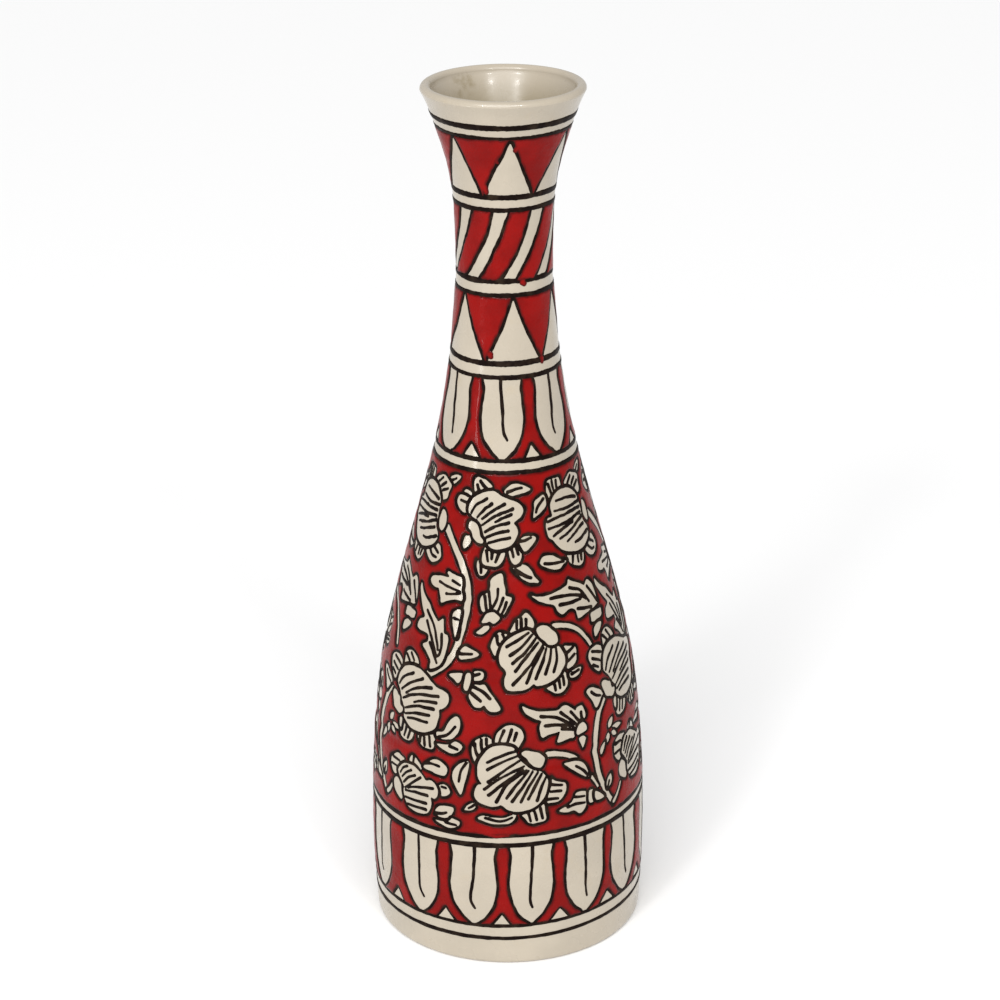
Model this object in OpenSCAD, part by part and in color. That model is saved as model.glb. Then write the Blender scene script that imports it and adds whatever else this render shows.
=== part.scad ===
// Hand-painted pottery bottle vase. Millimetres, +Z up, origin at the middle of the foot's resting face.
// Angles around the vase start at -Y, the side that is seen first, and grow towards +X.

/* [Overall] */
// Height from the foot to the top of the lip
height = 305; // [280:1:330]
// Largest diameter, low on the belly
belly_d = 97.8; // [90:0.1:104]
// Smallest diameter of the neck
neck_d = 32.3; // [30:0.1:35]
// Diameter of the lip
lip_d = 55.0; // [50:0.1:59]
// Diameter of the foot, above its rounded edge
foot_d = 95.9; // [88:0.1:100]

/* [Walls] */
// Wall thickness at the belly, glaze included
belly_wall = 5.2; // [4.4:0.1:6]
// Wall thickness at the neck, glaze included
neck_wall = 3.6; // [3.2:0.1:4.4]
// Wall thickness at the lip, glaze included
lip_wall = 3.6; // [2.8:0.1:4]
// Thickness of the floor, glaze included
floor_t = 6; // [5:0.1:9]
// Radius of the inside corner between floor and wall
floor_corner_r = 9; // [6:0.5:12]
// Thickness of each glaze coat
glaze_t = 0.4; // [0.3:0.05:0.5]

/* [Foot] */
// Rounding of the foot's outer edge
foot_edge_r = 1.6; // [1:0.1:2.2]
// Width of the bare ring that the vase stands on
foot_ring_w = 9; // [6:0.5:12]
// Depth of the turned recess inside the foot ring
recess_h = 2.5; // [1.5:0.1:3.5]

/* [Enamel] */
// Thickness of the red enamel
red_t = 0.35; // [0.25:0.05:0.5]
// Thickness of the black line
black_t = 0.25; // [0.15:0.05:0.35]
// Width of a painted ring
ring_w = 1.6; // [1.2:0.1:2]
// Width of a brush line
line_w = 1.3; // [1:0.1:1.6]

/* [Borders] */
// Cream triangles in each of the two triangle bands
triangle_count = 6; // [5:1:7]
// Stripes in the leaning band
stripe_count = 8; // [7:1:10]
// Petals hanging in the neck border
neck_petal_count = 7; // [6:1:8]
// Petals hanging in the foot border
foot_petal_count = 14; // [12:1:16]

/* [Flower field] */
// Turn from one repeat of the flower field to the next, in degrees
repeat_turn = 112; // [110:1:114]

/* [Hidden] */
$fn = 96;

CREAM = [0.84, 0.80, 0.71];
RED = [0.70, 0.06, 0.06];
BLACK = [0.06, 0.05, 0.04];
CLAY = [0.72, 0.55, 0.42];

belly_r = belly_d / 2;
neck_r = neck_d / 2;
lip_r = lip_d / 2;
foot_r = foot_d / 2;
contact_r = foot_r - foot_edge_r;

// Centre of the rounded lip's cross-section
lip_mid_r = lip_r - lip_wall / 2;
lip_mid_z = height - lip_wall / 2;

// Outline: [share of the height, share of the way out from the neck to the belly]
SHOULDER = [
    [0.10, 1], [0.18, 0.986], [0.26, 0.935], [0.34, 0.836], [0.42, 0.661],
    [0.50, 0.460], [0.58, 0.267], [0.66, 0.125], [0.74, 0.035], [0.82, 0]
];
// Outline above the neck: [share of the height, share of the way out from the neck to the lip]
FLARE = [[0.90, 0.152], [0.95, 0.513], [0.99, 0.924]];
STATIONS = concat(
    [[0, foot_r]],
    [for (s = SHOULDER) [s[0] * height, neck_r + s[1] * (belly_r - neck_r)]],
    [for (s = FLARE) [s[0] * height, neck_r + s[1] * (lip_r - neck_r)]],
    [[height, lip_r]]
);
LAST = len(STATIONS) - 1;

// The outline is drawn with one straight step in about every 5 mm
STEPS = 61;
ARC_STEPS = 6;

// Centre heights of the ring pairs, as shares of the height
LIP_RINGS = [0.9573, 0.9699];
UPPER_RINGS = [0.8733, 0.8880];
MIDDLE_RINGS = [0.7770, 0.7930];
LOWER_RINGS = [0.6864, 0.7017];
SHOULDER_RINGS = [0.5816, 0.5948];
WAIST_RINGS = [0.1568, 0.1694];
FOOT_RINGS = [0.0356, 0.0522];

// Angle of the first motif of each border
UPPER_TURN = 5;
STRIPE_TURN = 4;
LOWER_TURN = 10;
NECK_PETAL_TURN = -4;
FOOT_PETAL_TURN = 9;
// How far a stripe leans over the height of its band, in degrees
STRIPE_LEAN = 39;
// Share of a stripe's pitch that is red or its black edges
STRIPE_SHARE = 0.62;

// ---- outline ----

function slope(i) =
    let (a = max(i - 1, 0), b = min(i + 1, LAST))
    (STATIONS[b][1] - STATIONS[a][1]) / (STATIONS[b][0] - STATIONS[a][0]);

// Radius of the smooth outline: a cubic between each two stations
function smooth_r(z) =
    let (i = max([for (k = [0:LAST - 1]) if (z >= STATIONS[k][0] || k == 0) k]),
         a = STATIONS[i], b = STATIONS[i + 1], h = b[0] - a[0], t = (z - a[0]) / h)
    a[1] * (2 * t * t * t - 3 * t * t + 1) + slope(i) * h * (t * t * t - 2 * t * t + t)
    + b[1] * (3 * t * t - 2 * t * t * t) + slope(i + 1) * h * (t * t * t - t * t);

STEP_R = [for (i = [0:STEPS]) smooth_r(height * i / STEPS)];

// Radius of the glazed outside at height z, straight between the steps so that every layer fits the next
function outer_r(z) =
    let (s = z / height * STEPS, i = min(floor(s), STEPS - 1))
    STEP_R[i] + (s - i) * (STEP_R[i + 1] - STEP_R[i]);

// Wall thickness: belly to neck, then neck to lip
function wall(z) =
    let (neck_z = 0.82 * height, t = min(z / neck_z, 1), u = max(z - neck_z, 0) / (height - neck_z))
    belly_wall + (neck_wall - belly_wall) * t + (lip_wall - neck_wall) * u;

function heights(z0, z1) =
    concat([z0], [for (i = [0:STEPS]) let (z = height * i / STEPS) if (z > z0 + 0.2 && z < z1 - 0.2) z], [z1]);
function outer_side(z0, z1, off) = [for (z = heights(z0, z1)) [outer_r(z) + off, z]];
function inner_side(z0, z1, off) = [for (z = heights(z0, z1)) [outer_r(z) - wall(z) + off, z]];
function backwards(list) = [for (i = [len(list) - 1:-1:0]) list[i]];
function arc(cx, cy, r, a0, a1) =
    [for (i = [0:ARC_STEPS]) let (a = a0 + (a1 - a0) * i / ARC_STEPS) [cx + r * cos(a), cy + r * sin(a)]];

// Inside of the vase from its lip down to the middle of the floor; off moves it into the wall
corner_z = floor_t + recess_h + floor_corner_r;
function inside(off) =
    let (r = outer_r(corner_z) - wall(corner_z))
    concat(
        backwards(inner_side(corner_z + 1, lip_mid_z - 1, off)),
        backwards(arc(r - floor_corner_r, corner_z, floor_corner_r + off, 270, 360)),
        [[0, corner_z - floor_corner_r - off]]
    );
function lip_arc(r, a0, a1) = arc(lip_mid_r, lip_mid_z, r, a0, a1);
function foot_arc(off, a0) = arc(contact_r + off, foot_edge_r, foot_edge_r, a0, 360);
// Where the glaze stops on the foot's rounded edge: 270 is the resting face, 360 is the wall
GLAZE_STOP = 300;

// ---- layers ----

// A layer of thickness t on the outside between two heights
module skin(z0, z1, t) {
    rotate_extrude()
        polygon(concat(outer_side(z0, z1, 0), backwards(outer_side(z0, z1, t))));
}

module rings(pair) {
    color(BLACK)
        for (share = pair)
            skin(share * height - ring_w / 2, share * height + ring_w / 2, black_t);
}

// Heights of the field between two pairs of rings
function above(pair) = max(pair) * height + ring_w / 2;
function below(pair) = min(pair) * height - ring_w / 2;

// Carries a flat outline in the plane that faces angle a, as a short block through the wall's surface.
// The outline's x runs around the vase and its y is height; at_z is the height of its middle.
BLOCK_IN = 9;
BLOCK_OUT = 7;
module through_wall(a, at_z) {
    r = outer_r(at_z);
    rotate([0, 0, a])
        translate([0, -(r - BLOCK_IN), 0])
            rotate([90, 0, 0])
                linear_extrude(BLOCK_IN + BLOCK_OUT)
                    children();
}

// ---- vase ----

module clay_body() {
    color(CLAY)
        rotate_extrude()
            polygon(concat(
                [[0, recess_h], [contact_r - foot_ring_w - recess_h, recess_h], [contact_r - foot_ring_w, 0]],
                foot_arc(-glaze_t, 270),
                outer_side(foot_edge_r + 1, lip_mid_z - 1, -glaze_t),
                lip_arc(lip_wall / 2 - glaze_t, 0, 180),
                inside(glaze_t)
            ));
}

module inner_glaze() {
    color(CREAM)
        rotate_extrude()
            polygon(concat(
                lip_arc(lip_wall / 2, 90, 180),
                inside(0),
                backwards(concat(lip_arc(lip_wall / 2 - glaze_t, 90, 180), inside(glaze_t)))
            ));
}

module outer_glaze() {
    color(CREAM)
        rotate_extrude()
            polygon(concat(
                foot_arc(0, GLAZE_STOP),
                outer_side(foot_edge_r + 1, lip_mid_z - 1, 0),
                lip_arc(lip_wall / 2, 0, 90),
                backwards(concat(
                    foot_arc(-glaze_t, GLAZE_STOP),
                    outer_side(foot_edge_r + 1, lip_mid_z - 1, -glaze_t),
                    lip_arc(lip_wall / 2 - glaze_t, 0, 90)
                ))
            ));
}

module lip_rings() rings(LIP_RINGS);
module upper_collar_rings() rings(UPPER_RINGS);
module middle_collar_rings() rings(MIDDLE_RINGS);
module lower_collar_rings() rings(LOWER_RINGS);
module shoulder_rings() rings(SHOULDER_RINGS);
module waist_rings() rings(WAIST_RINGS);
module foot_rings() rings(FOOT_RINGS);

// ---- triangle bands ----

// Share of a triangle's pitch that its black outline spans at the bottom
TRIANGLE_SHARE = 0.95;
// The outlines run this far past a band's edge, so that no sliver is left there
PAST = 2;

function triangle_half(z0) = outer_r(z0) * sin(180 / triangle_count * TRIANGLE_SHARE);

// A triangle standing on z0 with its tip at z1, drawn smaller by inset on its two slanted sides
module triangle(z0, z1, inset) {
    half = triangle_half(z0);
    h = z1 - z0;
    in_x = inset * sqrt(1 + pow(half / h, 2));
    in_z = inset * sqrt(1 + pow(h / half, 2));
    grow = (h - in_z + PAST) / (h - in_z);
    polygon([[-(half - in_x) * grow, z0 - PAST], [(half - in_x) * grow, z0 - PAST], [0, z1 - in_z]]);
}

module triangles(z0, z1, turn, inset) {
    for (i = [0:triangle_count - 1])
        through_wall(turn + i * 360 / triangle_count, (z0 + z1) / 2)
            triangle(z0, z1, inset);
}

module triangle_reds(z0, z1, turn) {
    color(RED)
        difference() {
            skin(z0, z1, red_t);
            triangles(z0, z1 + 0.4, turn, 0);
        }
}

module triangle_outlines(z0, z1, turn) {
    color(BLACK)
        difference() {
            intersection() {
                skin(z0, z1, black_t);
                triangles(z0, z1 + 0.4, turn, 0);
            }
            triangles(z0, z1 + 0.4, turn, line_w);
        }
}

module upper_triangles_red() triangle_reds(above(UPPER_RINGS), below(LIP_RINGS), UPPER_TURN);
module upper_triangles_outline() triangle_outlines(above(UPPER_RINGS), below(LIP_RINGS), UPPER_TURN);
module lower_triangles_red() triangle_reds(above(LOWER_RINGS), below(MIDDLE_RINGS), LOWER_TURN);
module lower_triangles_outline() triangle_outlines(above(LOWER_RINGS), below(MIDDLE_RINGS), LOWER_TURN);

// ---- leaning stripes ----

STRIPE_STEPS = 6;
stripe_z0 = above(MIDDLE_RINGS);
stripe_z1 = below(UPPER_RINGS);

// A stripe's side at s = 0..1 of the band's height; side is -1 or 1 and inset moves it inwards
function stripe_point(s, side, inset) =
    let (z = stripe_z0 + s * (stripe_z1 - stripe_z0),
         turn = STRIPE_LEAN * (s - 0.5 - 0.04 * sin(360 * s)),
         half = 180 / stripe_count * STRIPE_SHARE)
    [outer_r(z) * sin(turn + side * half) - side * inset, z + (2 * s - 1) * PAST];

module stripes(inset) {
    for (i = [0:stripe_count - 1])
        through_wall(STRIPE_TURN + STRIPE_LEAN / 2 + (i + 0.5) * 360 / stripe_count, (stripe_z0 + stripe_z1) / 2)
            polygon(concat(
                [for (k = [0:STRIPE_STEPS]) stripe_point(k / STRIPE_STEPS, 1, inset)],
                [for (k = [STRIPE_STEPS:-1:0]) stripe_point(k / STRIPE_STEPS, -1, inset)]
            ));
}

module spiral_stripes_red() {
    color(RED)
        intersection() {
            skin(stripe_z0, stripe_z1, red_t);
            stripes(line_w);
        }
}

module spiral_stripes_outline() {
    color(BLACK)
        difference() {
            intersection() {
                skin(stripe_z0, stripe_z1, black_t);
                stripes(0);
            }
            stripes(line_w);
        }
}

// ---- hanging petals ----

PETAL_STEPS = 5;
// Share of a petal's height below which it narrows to its tip
PETAL_BEND = 0.55;
// Share of the pitch that a petal spans, in the neck and foot borders
NECK_PETAL_SHARE = 0.78;
FOOT_PETAL_SHARE = 0.80;

// How far a petal's outline reaches past the foot of its border, so that it parts the red
TIP_PAST = 0.8;

// A petal that hangs from z1 with its tip at z0, drawn smaller by inset
module petal(z0, z1, half, inset) {
    bend_z = z0 + PETAL_BEND * (z1 - z0);
    drop = bend_z - z0 + TIP_PAST - 1.6 * inset;
    side = [for (k = [0:PETAL_STEPS]) let (a = 90 * k / PETAL_STEPS)
        [(half - inset) * pow(cos(a), 0.8), bend_z - drop * sin(a)]];
    polygon(concat([[half - inset, z1 + PAST]], side, backwards([for (p = side) [-p[0], p[1]]]),
        [[-(half - inset), z1 + PAST]]));
}

// Height of the small cream triangle between two petals, as a share of the border's height
GAP_SHARE = 0.28;
// Share of the pitch that its foot spans
GAP_FOOT_SHARE = 0.62;

// The small cream triangle that stands between two petals
module gap_triangle(z0, z1, half, inset) {
    h = GAP_SHARE * (z1 - z0) - 2 * inset;
    foot_half = (half - 1.2 * inset) * (h + PAST) / h;
    polygon([[-foot_half, z0 - PAST], [foot_half, z0 - PAST], [0, z0 + h]]);
}

module petals(z0, z1, count, share, turn, inset) {
    for (i = [0:count - 1])
        through_wall(turn + i * 360 / count, (z0 + z1) / 2)
            petal(z0, z1, outer_r(z1) * sin(180 / count * share), inset);
}

module gap_triangles(z0, z1, count, turn, inset) {
    for (i = [0:count - 1])
        through_wall(turn + (i + 0.5) * 360 / count, (z0 + z1) / 2)
            gap_triangle(z0, z1, outer_r(z0) * sin(180 / count * GAP_FOOT_SHARE), inset);
}

module midribs(z0, z1, count, turn) {
    for (i = [0:count - 1])
        through_wall(turn + i * 360 / count, (z0 + z1) / 2)
            translate([-line_w / 2, z0 + 0.2 * (z1 - z0)])
                square([line_w, z1 - z0]);
}

module petal_reds(z0, z1, count, share, turn) {
    color(RED)
        difference() {
            skin(z0, z1, red_t);
            petals(z0, z1, count, share, turn, 0);
            gap_triangles(z0, z1, count, turn, 0);
        }
}

module petal_outlines(z0, z1, count, share, turn) {
    color(BLACK) {
        difference() {
            intersection() {
                skin(z0, z1, black_t);
                petals(z0, z1, count, share, turn, 0);
            }
            difference() {
                petals(z0, z1, count, share, turn, line_w);
                midribs(z0, z1, count, turn);
            }
        }
        difference() {
            intersection() {
                skin(z0, z1, black_t);
                gap_triangles(z0, z1, count, turn, 0);
            }
            petals(z0, z1, count, share, turn, 0);
            gap_triangles(z0, z1, count, turn, line_w);
        }
    }
}

module neck_petals_red()
    petal_reds(above(SHOULDER_RINGS), below(LOWER_RINGS), neck_petal_count, NECK_PETAL_SHARE, NECK_PETAL_TURN);
module neck_petals_outline()
    petal_outlines(above(SHOULDER_RINGS), below(LOWER_RINGS), neck_petal_count, NECK_PETAL_SHARE, NECK_PETAL_TURN);
module foot_petals_red()
    petal_reds(above(FOOT_RINGS), below(WAIST_RINGS), foot_petal_count, FOOT_PETAL_SHARE, FOOT_PETAL_TURN);
module foot_petals_outline()
    petal_outlines(above(FOOT_RINGS), below(WAIST_RINGS), foot_petal_count, FOOT_PETAL_SHARE, FOOT_PETAL_TURN);

// ---- flower field ----

field_z0 = above(WAIST_RINGS);
field_z1 = below(SHOULDER_RINGS);

// Flowers of one repeat: [angle, height, fan radius, turn of the calyx from the fan's middle]
FLOWERS = [
    [-66, 158.2, 10.5, 0], [-6, 161.2, 9, 215], [13, 115.6, 10, 50],
    [-44, 96.4, 10.5, 190], [3, 73.1, 11.5, 45], [-42, 63, 8.5, 185]
];
// Leaves: [angle and height of the stalk end, length, width, turn of the tip]
LEAVES = [
    [-25, 137.9, 11, 8, 180], [-34, 111.6, 27, 9, 118], [50, 130.8, 24, 11, 165], [-6, 128.8, 13, 8, 85],
    [32, 89.3, 19, 9, 152], [-17, 106.5, 10, 7, 320], [10, 144, 8, 5, 320], [-22, 82.2, 8, 5, 60],
    [-33, 73.1, 9, 5, 10], [-14, 78.2, 12, 5, 250], [33, 60, 9, 5, 185]
];
// Vines: points of the middle line as [angle, height]
VINES = [
    [[-43, 157.1], [-31, 150.1], [-23, 142], [-21.5, 132.8], [-23, 124.7], [-28, 114.6], [-35, 108.6]],
    [[26, 124.7], [35, 122.7], [42, 118.7], [46, 111.6]],
    [[47, 94.4], [42, 88.3], [40, 81.2], [42, 71.1], [46, 62], [50, 54.9]],
    [[18, 81.2], [27, 79.2], [35, 73.1], [40, 65]]
];
VINE_W = 4.2;
// The sprig that fills the space left between the last repeat and the first
SPRIG_TURN = 170;
SPRIG_LEAVES = [[-1, 65, 15, 7, 55], [1, 83.2, 15, 7, 125], [-1, 103.5, 15, 7, 50], [1, 125.8, 13, 6, 130]];
SPRIG_VINE = [[0, 56.9], [-3, 77.2], [3, 99.4], [-3, 123.7], [2, 148]];

FAN_POINTS = 24;
// Fan of radius r with its lobes to the right, grown by off
module fan(r, off) {
    polygon([for (k = [0:FAN_POINTS - 1]) let (a = 360 * k / FAN_POINTS,
        lobed = r * (1 + 0.05 * cos(4 * a) * (1 + cos(a))) + off) lobed * [cos(a), sin(a)]]);
}

OVAL_POINTS = 12;
module oval(half_x, half_y, off) {
    polygon([for (k = [0:OVAL_POINTS - 1]) let (a = 360 * k / OVAL_POINTS)
        [(half_x + off) * cos(a), (half_y + off) * sin(a)]]);
}

SIDE_PETALS = [75, 125, 235, 285];
module flower_shape(r, off) {
    fan(r, off);
    translate([-r * 1.25, 0]) oval(r * 0.28, r * 0.42, off);
    for (a = SIDE_PETALS)
        rotate(a) translate([r, 0]) oval(r * 0.42, r * 0.36, off);
}

// Brush strokes that open from the calyx
module hatching(r) {
    for (i = [-2:2])
        translate([-r * 0.75, i * r * 0.16])
            rotate(i * 9)
                translate([0, -line_w / 2])
                    square([r * (1.35 - 0.1 * abs(i)), line_w]);
}

// A leaf from the origin to the right, grown by off
LEAF_STEPS = 5;
module leaf_shape(length, width, off) {
    side = [for (k = [0:LEAF_STEPS]) let (s = k / LEAF_STEPS)
        [-off + s * (length + 2 * off), off * 0.5 + (width / 2 + off * 0.5) * sin(180 * pow(s, 0.8))]];
    polygon(concat(side, backwards([for (p = side) [p[0], -p[1]]])));
}

// A ribbon of width w along a middle line given as [angle, height]
module ribbon(line, mid, w) {
    last = len(line) - 1;
    flat = [for (p = line) [outer_r(p[1]) * sin(p[0] - mid), p[1]]];
    way = [for (i = [0:last]) let (d = flat[min(i + 1, last)] - flat[max(i - 1, 0)]) d / norm(d)];
    left = [for (i = [0:last]) flat[i] + w / 2 * [-way[i][1], way[i][0]]];
    right = [for (i = [last:-1:0]) flat[i] - w / 2 * [-way[i][1], way[i][0]]];
    polygon(concat(left, right));
}

module all_repeats() {
    for (i = [-1:1])
        rotate([0, 0, i * repeat_turn])
            children();
}

module flowers(off) {
    all_repeats()
        for (f = FLOWERS)
            through_wall(f[0], f[1])
                translate([0, f[1]]) rotate(f[3] + 180) flower_shape(f[2], off);
}

// The open cream parts of the flowers, with the hatching left standing
module flower_openings() {
    all_repeats()
        for (f = FLOWERS)
            through_wall(f[0], f[1])
                translate([0, f[1]]) rotate(f[3] + 180) {
                    difference() {
                        fan(f[2], 0);
                        hatching(f[2]);
                    }
                    translate([-f[2] * 1.25, 0]) oval(f[2] * 0.28 - line_w / 2, f[2] * 0.42, 0);
                    difference() {
                        for (a = SIDE_PETALS)
                            rotate(a) translate([f[2], 0]) oval(f[2] * 0.42, f[2] * 0.36, 0);
                        fan(f[2], line_w);
                    }
                }
}

module leaf_set(list, off) {
    for (l = list)
        through_wall(l[0], l[1])
            translate([0, l[1]]) rotate(l[4]) leaf_shape(l[2], l[3], off);
}

module leaves(off) {
    all_repeats() leaf_set(LEAVES, off);
    rotate([0, 0, SPRIG_TURN]) leaf_set(SPRIG_LEAVES, off);
}

module leaf_veins() {
    all_repeats() vein_set(LEAVES);
    rotate([0, 0, SPRIG_TURN]) vein_set(SPRIG_LEAVES);
}

module vein_set(list) {
    for (l = list)
        through_wall(l[0], l[1])
            translate([0, l[1]]) rotate(l[4]) translate([0, -line_w / 2]) square([l[2] * 0.7, line_w]);
}

module vine(line, w) {
    mid = (line[0][0] + line[len(line) - 1][0]) / 2;
    through_wall(mid, (line[0][1] + line[len(line) - 1][1]) / 2)
        ribbon(line, mid, w);
}

module vines(w) {
    all_repeats()
        for (line = VINES)
            vine(line, w);
    rotate([0, 0, SPRIG_TURN]) vine(SPRIG_VINE, w);
}

module floral_ground_red() {
    color(RED)
        difference() {
            skin(field_z0, field_z1, red_t);
            flowers(line_w);
            leaves(line_w);
            vines(VINE_W);
        }
}

module floral_flowers_outline() {
    color(BLACK)
        difference() {
            intersection() {
                skin(field_z0, field_z1, black_t);
                flowers(line_w);
            }
            flower_openings();
        }
}

module floral_leaves_outline() {
    color(BLACK)
        difference() {
            intersection() {
                skin(field_z0, field_z1, black_t);
                leaves(line_w);
            }
            flowers(line_w);
            difference() {
                leaves(0);
                leaf_veins();
            }
        }
}

module floral_vines_outline() {
    color(BLACK)
        difference() {
            intersection() {
                skin(field_z0, field_z1, black_t);
                vines(VINE_W);
            }
            flowers(line_w);
            leaves(line_w);
            vines(VINE_W - 2 * line_w);
        }
}

clay_body();
inner_glaze();
outer_glaze();
lip_rings();
upper_triangles_red();
upper_triangles_outline();
upper_collar_rings();
spiral_stripes_red();
spiral_stripes_outline();
middle_collar_rings();
lower_triangles_red();
lower_triangles_outline();
lower_collar_rings();
neck_petals_red();
neck_petals_outline();
shoulder_rings();
floral_ground_red();
floral_flowers_outline();
floral_leaves_outline();
floral_vines_outline();
waist_rings();
foot_petals_red();
foot_petals_outline();
foot_rings();
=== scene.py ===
"""Looks for the hand-painted bottle vase.

The painting is worked out in the vase's own coordinates: an angle in degrees round the vase (0 is the
front, -Y, and angles grow towards +X) and a height in millimetres. Each border is painted on a grid of
signed distances and then cut into raised, closed enamel shells that lie on the glaze.
"""
import math

import bpy
import numpy as np
from mathutils import Matrix, Vector


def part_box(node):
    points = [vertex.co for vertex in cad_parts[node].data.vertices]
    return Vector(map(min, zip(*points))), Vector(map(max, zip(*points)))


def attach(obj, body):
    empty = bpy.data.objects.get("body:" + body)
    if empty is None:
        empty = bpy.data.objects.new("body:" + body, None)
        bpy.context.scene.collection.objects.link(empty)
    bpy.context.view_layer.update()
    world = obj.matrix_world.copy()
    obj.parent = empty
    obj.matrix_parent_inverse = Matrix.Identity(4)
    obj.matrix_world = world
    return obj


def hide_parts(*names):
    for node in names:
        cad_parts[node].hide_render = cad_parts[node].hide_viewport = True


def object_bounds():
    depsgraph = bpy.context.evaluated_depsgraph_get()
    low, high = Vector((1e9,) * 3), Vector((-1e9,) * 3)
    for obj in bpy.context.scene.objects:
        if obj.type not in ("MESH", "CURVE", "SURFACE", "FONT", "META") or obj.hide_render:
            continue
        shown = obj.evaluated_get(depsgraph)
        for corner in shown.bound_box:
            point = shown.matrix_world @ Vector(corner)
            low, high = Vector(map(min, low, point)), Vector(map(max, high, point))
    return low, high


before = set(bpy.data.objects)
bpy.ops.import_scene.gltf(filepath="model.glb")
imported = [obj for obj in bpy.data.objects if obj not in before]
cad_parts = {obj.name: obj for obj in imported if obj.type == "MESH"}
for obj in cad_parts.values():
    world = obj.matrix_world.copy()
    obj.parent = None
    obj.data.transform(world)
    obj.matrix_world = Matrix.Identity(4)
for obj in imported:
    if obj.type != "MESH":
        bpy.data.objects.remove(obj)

CAD_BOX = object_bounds()

MM = 0.001
# Linear colours. The inside colour is the cream glaze down inside the neck, made darker and more khaki as
# painted shade.
CREAM_COLOUR = (0.41, 0.358, 0.282)
SHADED_INSIDE_COLOUR = (0.23, 0.188, 0.112)
RED_COLOUR = (0.200, 0.0020, 0.0013)
BLACK_COLOUR = (0.005, 0.0018, 0.001)
CLAY_COLOUR = (0.55, 0.40, 0.27)

# ---- the wall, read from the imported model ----


def node_profile(node, outer):
    """Heights and radii (mm) of a lathe-turned node's outer or inner side."""
    points = np.empty(len(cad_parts[node].data.vertices) * 3)
    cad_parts[node].data.vertices.foreach_get("co", points)
    points = points.reshape(-1, 3) / MM
    heights = np.round(points[:, 2], 2)
    radii = np.hypot(points[:, 0], points[:, 1])
    levels = np.unique(heights)
    pick = np.max if outer else np.min
    return levels, np.array([pick(radii[heights == z]) for z in levels])


OUT_Z, OUT_R = node_profile("outer_glaze", True)
IN_Z, IN_R = node_profile("inner_glaze", False)
TOP = CAD_BOX[1].z / MM
BELLY_R = OUT_R.max()


def curve_through(x, xs, ys):
    """Smooth curve through the points (xs, ys)."""
    slopes = np.gradient(ys, xs)
    i = np.clip(np.searchsorted(xs, x) - 1, 0, len(xs) - 2)
    h = xs[i + 1] - xs[i]
    t = (x - xs[i]) / h
    return (ys[i] * (2 * t**3 - 3 * t**2 + 1) + slopes[i] * h * (t**3 - 2 * t**2 + t)
            + ys[i + 1] * (3 * t**2 - 2 * t**3) + slopes[i + 1] * h * (t**3 - t**2))


# The wall proper lies between the rounded foot edge and the rounded lip. Inside, it starts above the
# rounded corner of the floor.
FOOT_Z, LIP_Z = 3.0, TOP - 1.8
CORNER_Z = 18.0
# The model's level here is left out, so that the flare runs smoothly up to the lip
SKIPPED_Z = LIP_Z - 1.1


def on_wall(levels, lowest):
    """Which of a profile's levels shape the wall."""
    return (levels >= lowest) & (levels <= LIP_Z + 0.01) & (abs(levels - SKIPPED_Z) > 0.5)


OUT_WALL = on_wall(OUT_Z, FOOT_Z - 1)
IN_WALL = on_wall(IN_Z, CORNER_Z)


def outer_r(z):
    """Radius of the glaze outside at a height, in mm."""
    return curve_through(np.clip(z, FOOT_Z, LIP_Z), OUT_Z[OUT_WALL], OUT_R[OUT_WALL])


def inner_r(z, off=0.0):
    """Radius `off` mm behind the glaze inside at a height, in mm."""
    return curve_through(z, IN_Z[IN_WALL], IN_R[IN_WALL]) + off


def noise(angle, z, size, seed):
    """Smooth random values, about -1 to 1, that change over `size` mm up and round the belly."""
    around = max(3, round(2 * math.pi * BELLY_R / size))
    up = int(TOP / size) + 4
    table = np.random.default_rng(seed).uniform(-1, 1, (up, around))
    x, y = np.asarray(angle) / 360 % 1 * around, np.asarray(z) / size + 1
    i, j = np.floor(x).astype(int), np.floor(y).astype(int)
    fx, fy = x - i, y - j
    fx, fy = fx * fx * (3 - 2 * fx), fy * fy * (3 - 2 * fy)
    i, i2, j, j2 = i % around, (i + 1) % around, np.clip(j, 0, up - 1), np.clip(j + 1, 0, up - 1)
    low = table[j, i] * (1 - fx) + table[j, i2] * fx
    high = table[j2, i] * (1 - fx) + table[j2, i2] * fx
    return low * (1 - fy) + high * fy


def hand_thrown(angle, z):
    """How far the potter's hand left the wall inside its true circle, in mm."""
    rings = 0.02 * np.sin(z * 0.9 + 2 * noise(angle, z, 70, 3))
    return 0.09 * noise(angle, z, 55, 1) + 0.03 * noise(angle, z, 14, 2) + rings - 0.12


def wall_point(angle, z, lift):
    """Points `lift` mm outside the glaze, in metres."""
    r = outer_r(z) + hand_thrown(angle, z) + lift
    a = np.radians(angle)
    return np.stack([r * np.sin(a), -r * np.cos(a), z * np.ones_like(a)], axis=-1) * MM


# ---- meshes ----


def make_object(name, points, faces, material, node):
    """A smooth mesh piece that stands for a CAD node. faces is an array of triangles or quads."""
    mesh = bpy.data.meshes.new(name)
    corners = faces.shape[1]
    mesh.vertices.add(len(points))
    mesh.vertices.foreach_set("co", np.ascontiguousarray(points, dtype=np.float32).ravel())
    mesh.loops.add(faces.size)
    mesh.loops.foreach_set("vertex_index", faces.astype(np.int32).ravel())
    mesh.polygons.add(len(faces))
    mesh.polygons.foreach_set("loop_start", np.arange(0, faces.size, corners, dtype=np.int32))
    mesh.update(calc_edges=True)
    mesh.shade_smooth()
    mesh.materials.append(material)
    piece = bpy.data.objects.new(name + "_look", mesh)
    bpy.context.scene.collection.objects.link(piece)
    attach(piece, "root")
    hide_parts(node)
    return piece


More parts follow.
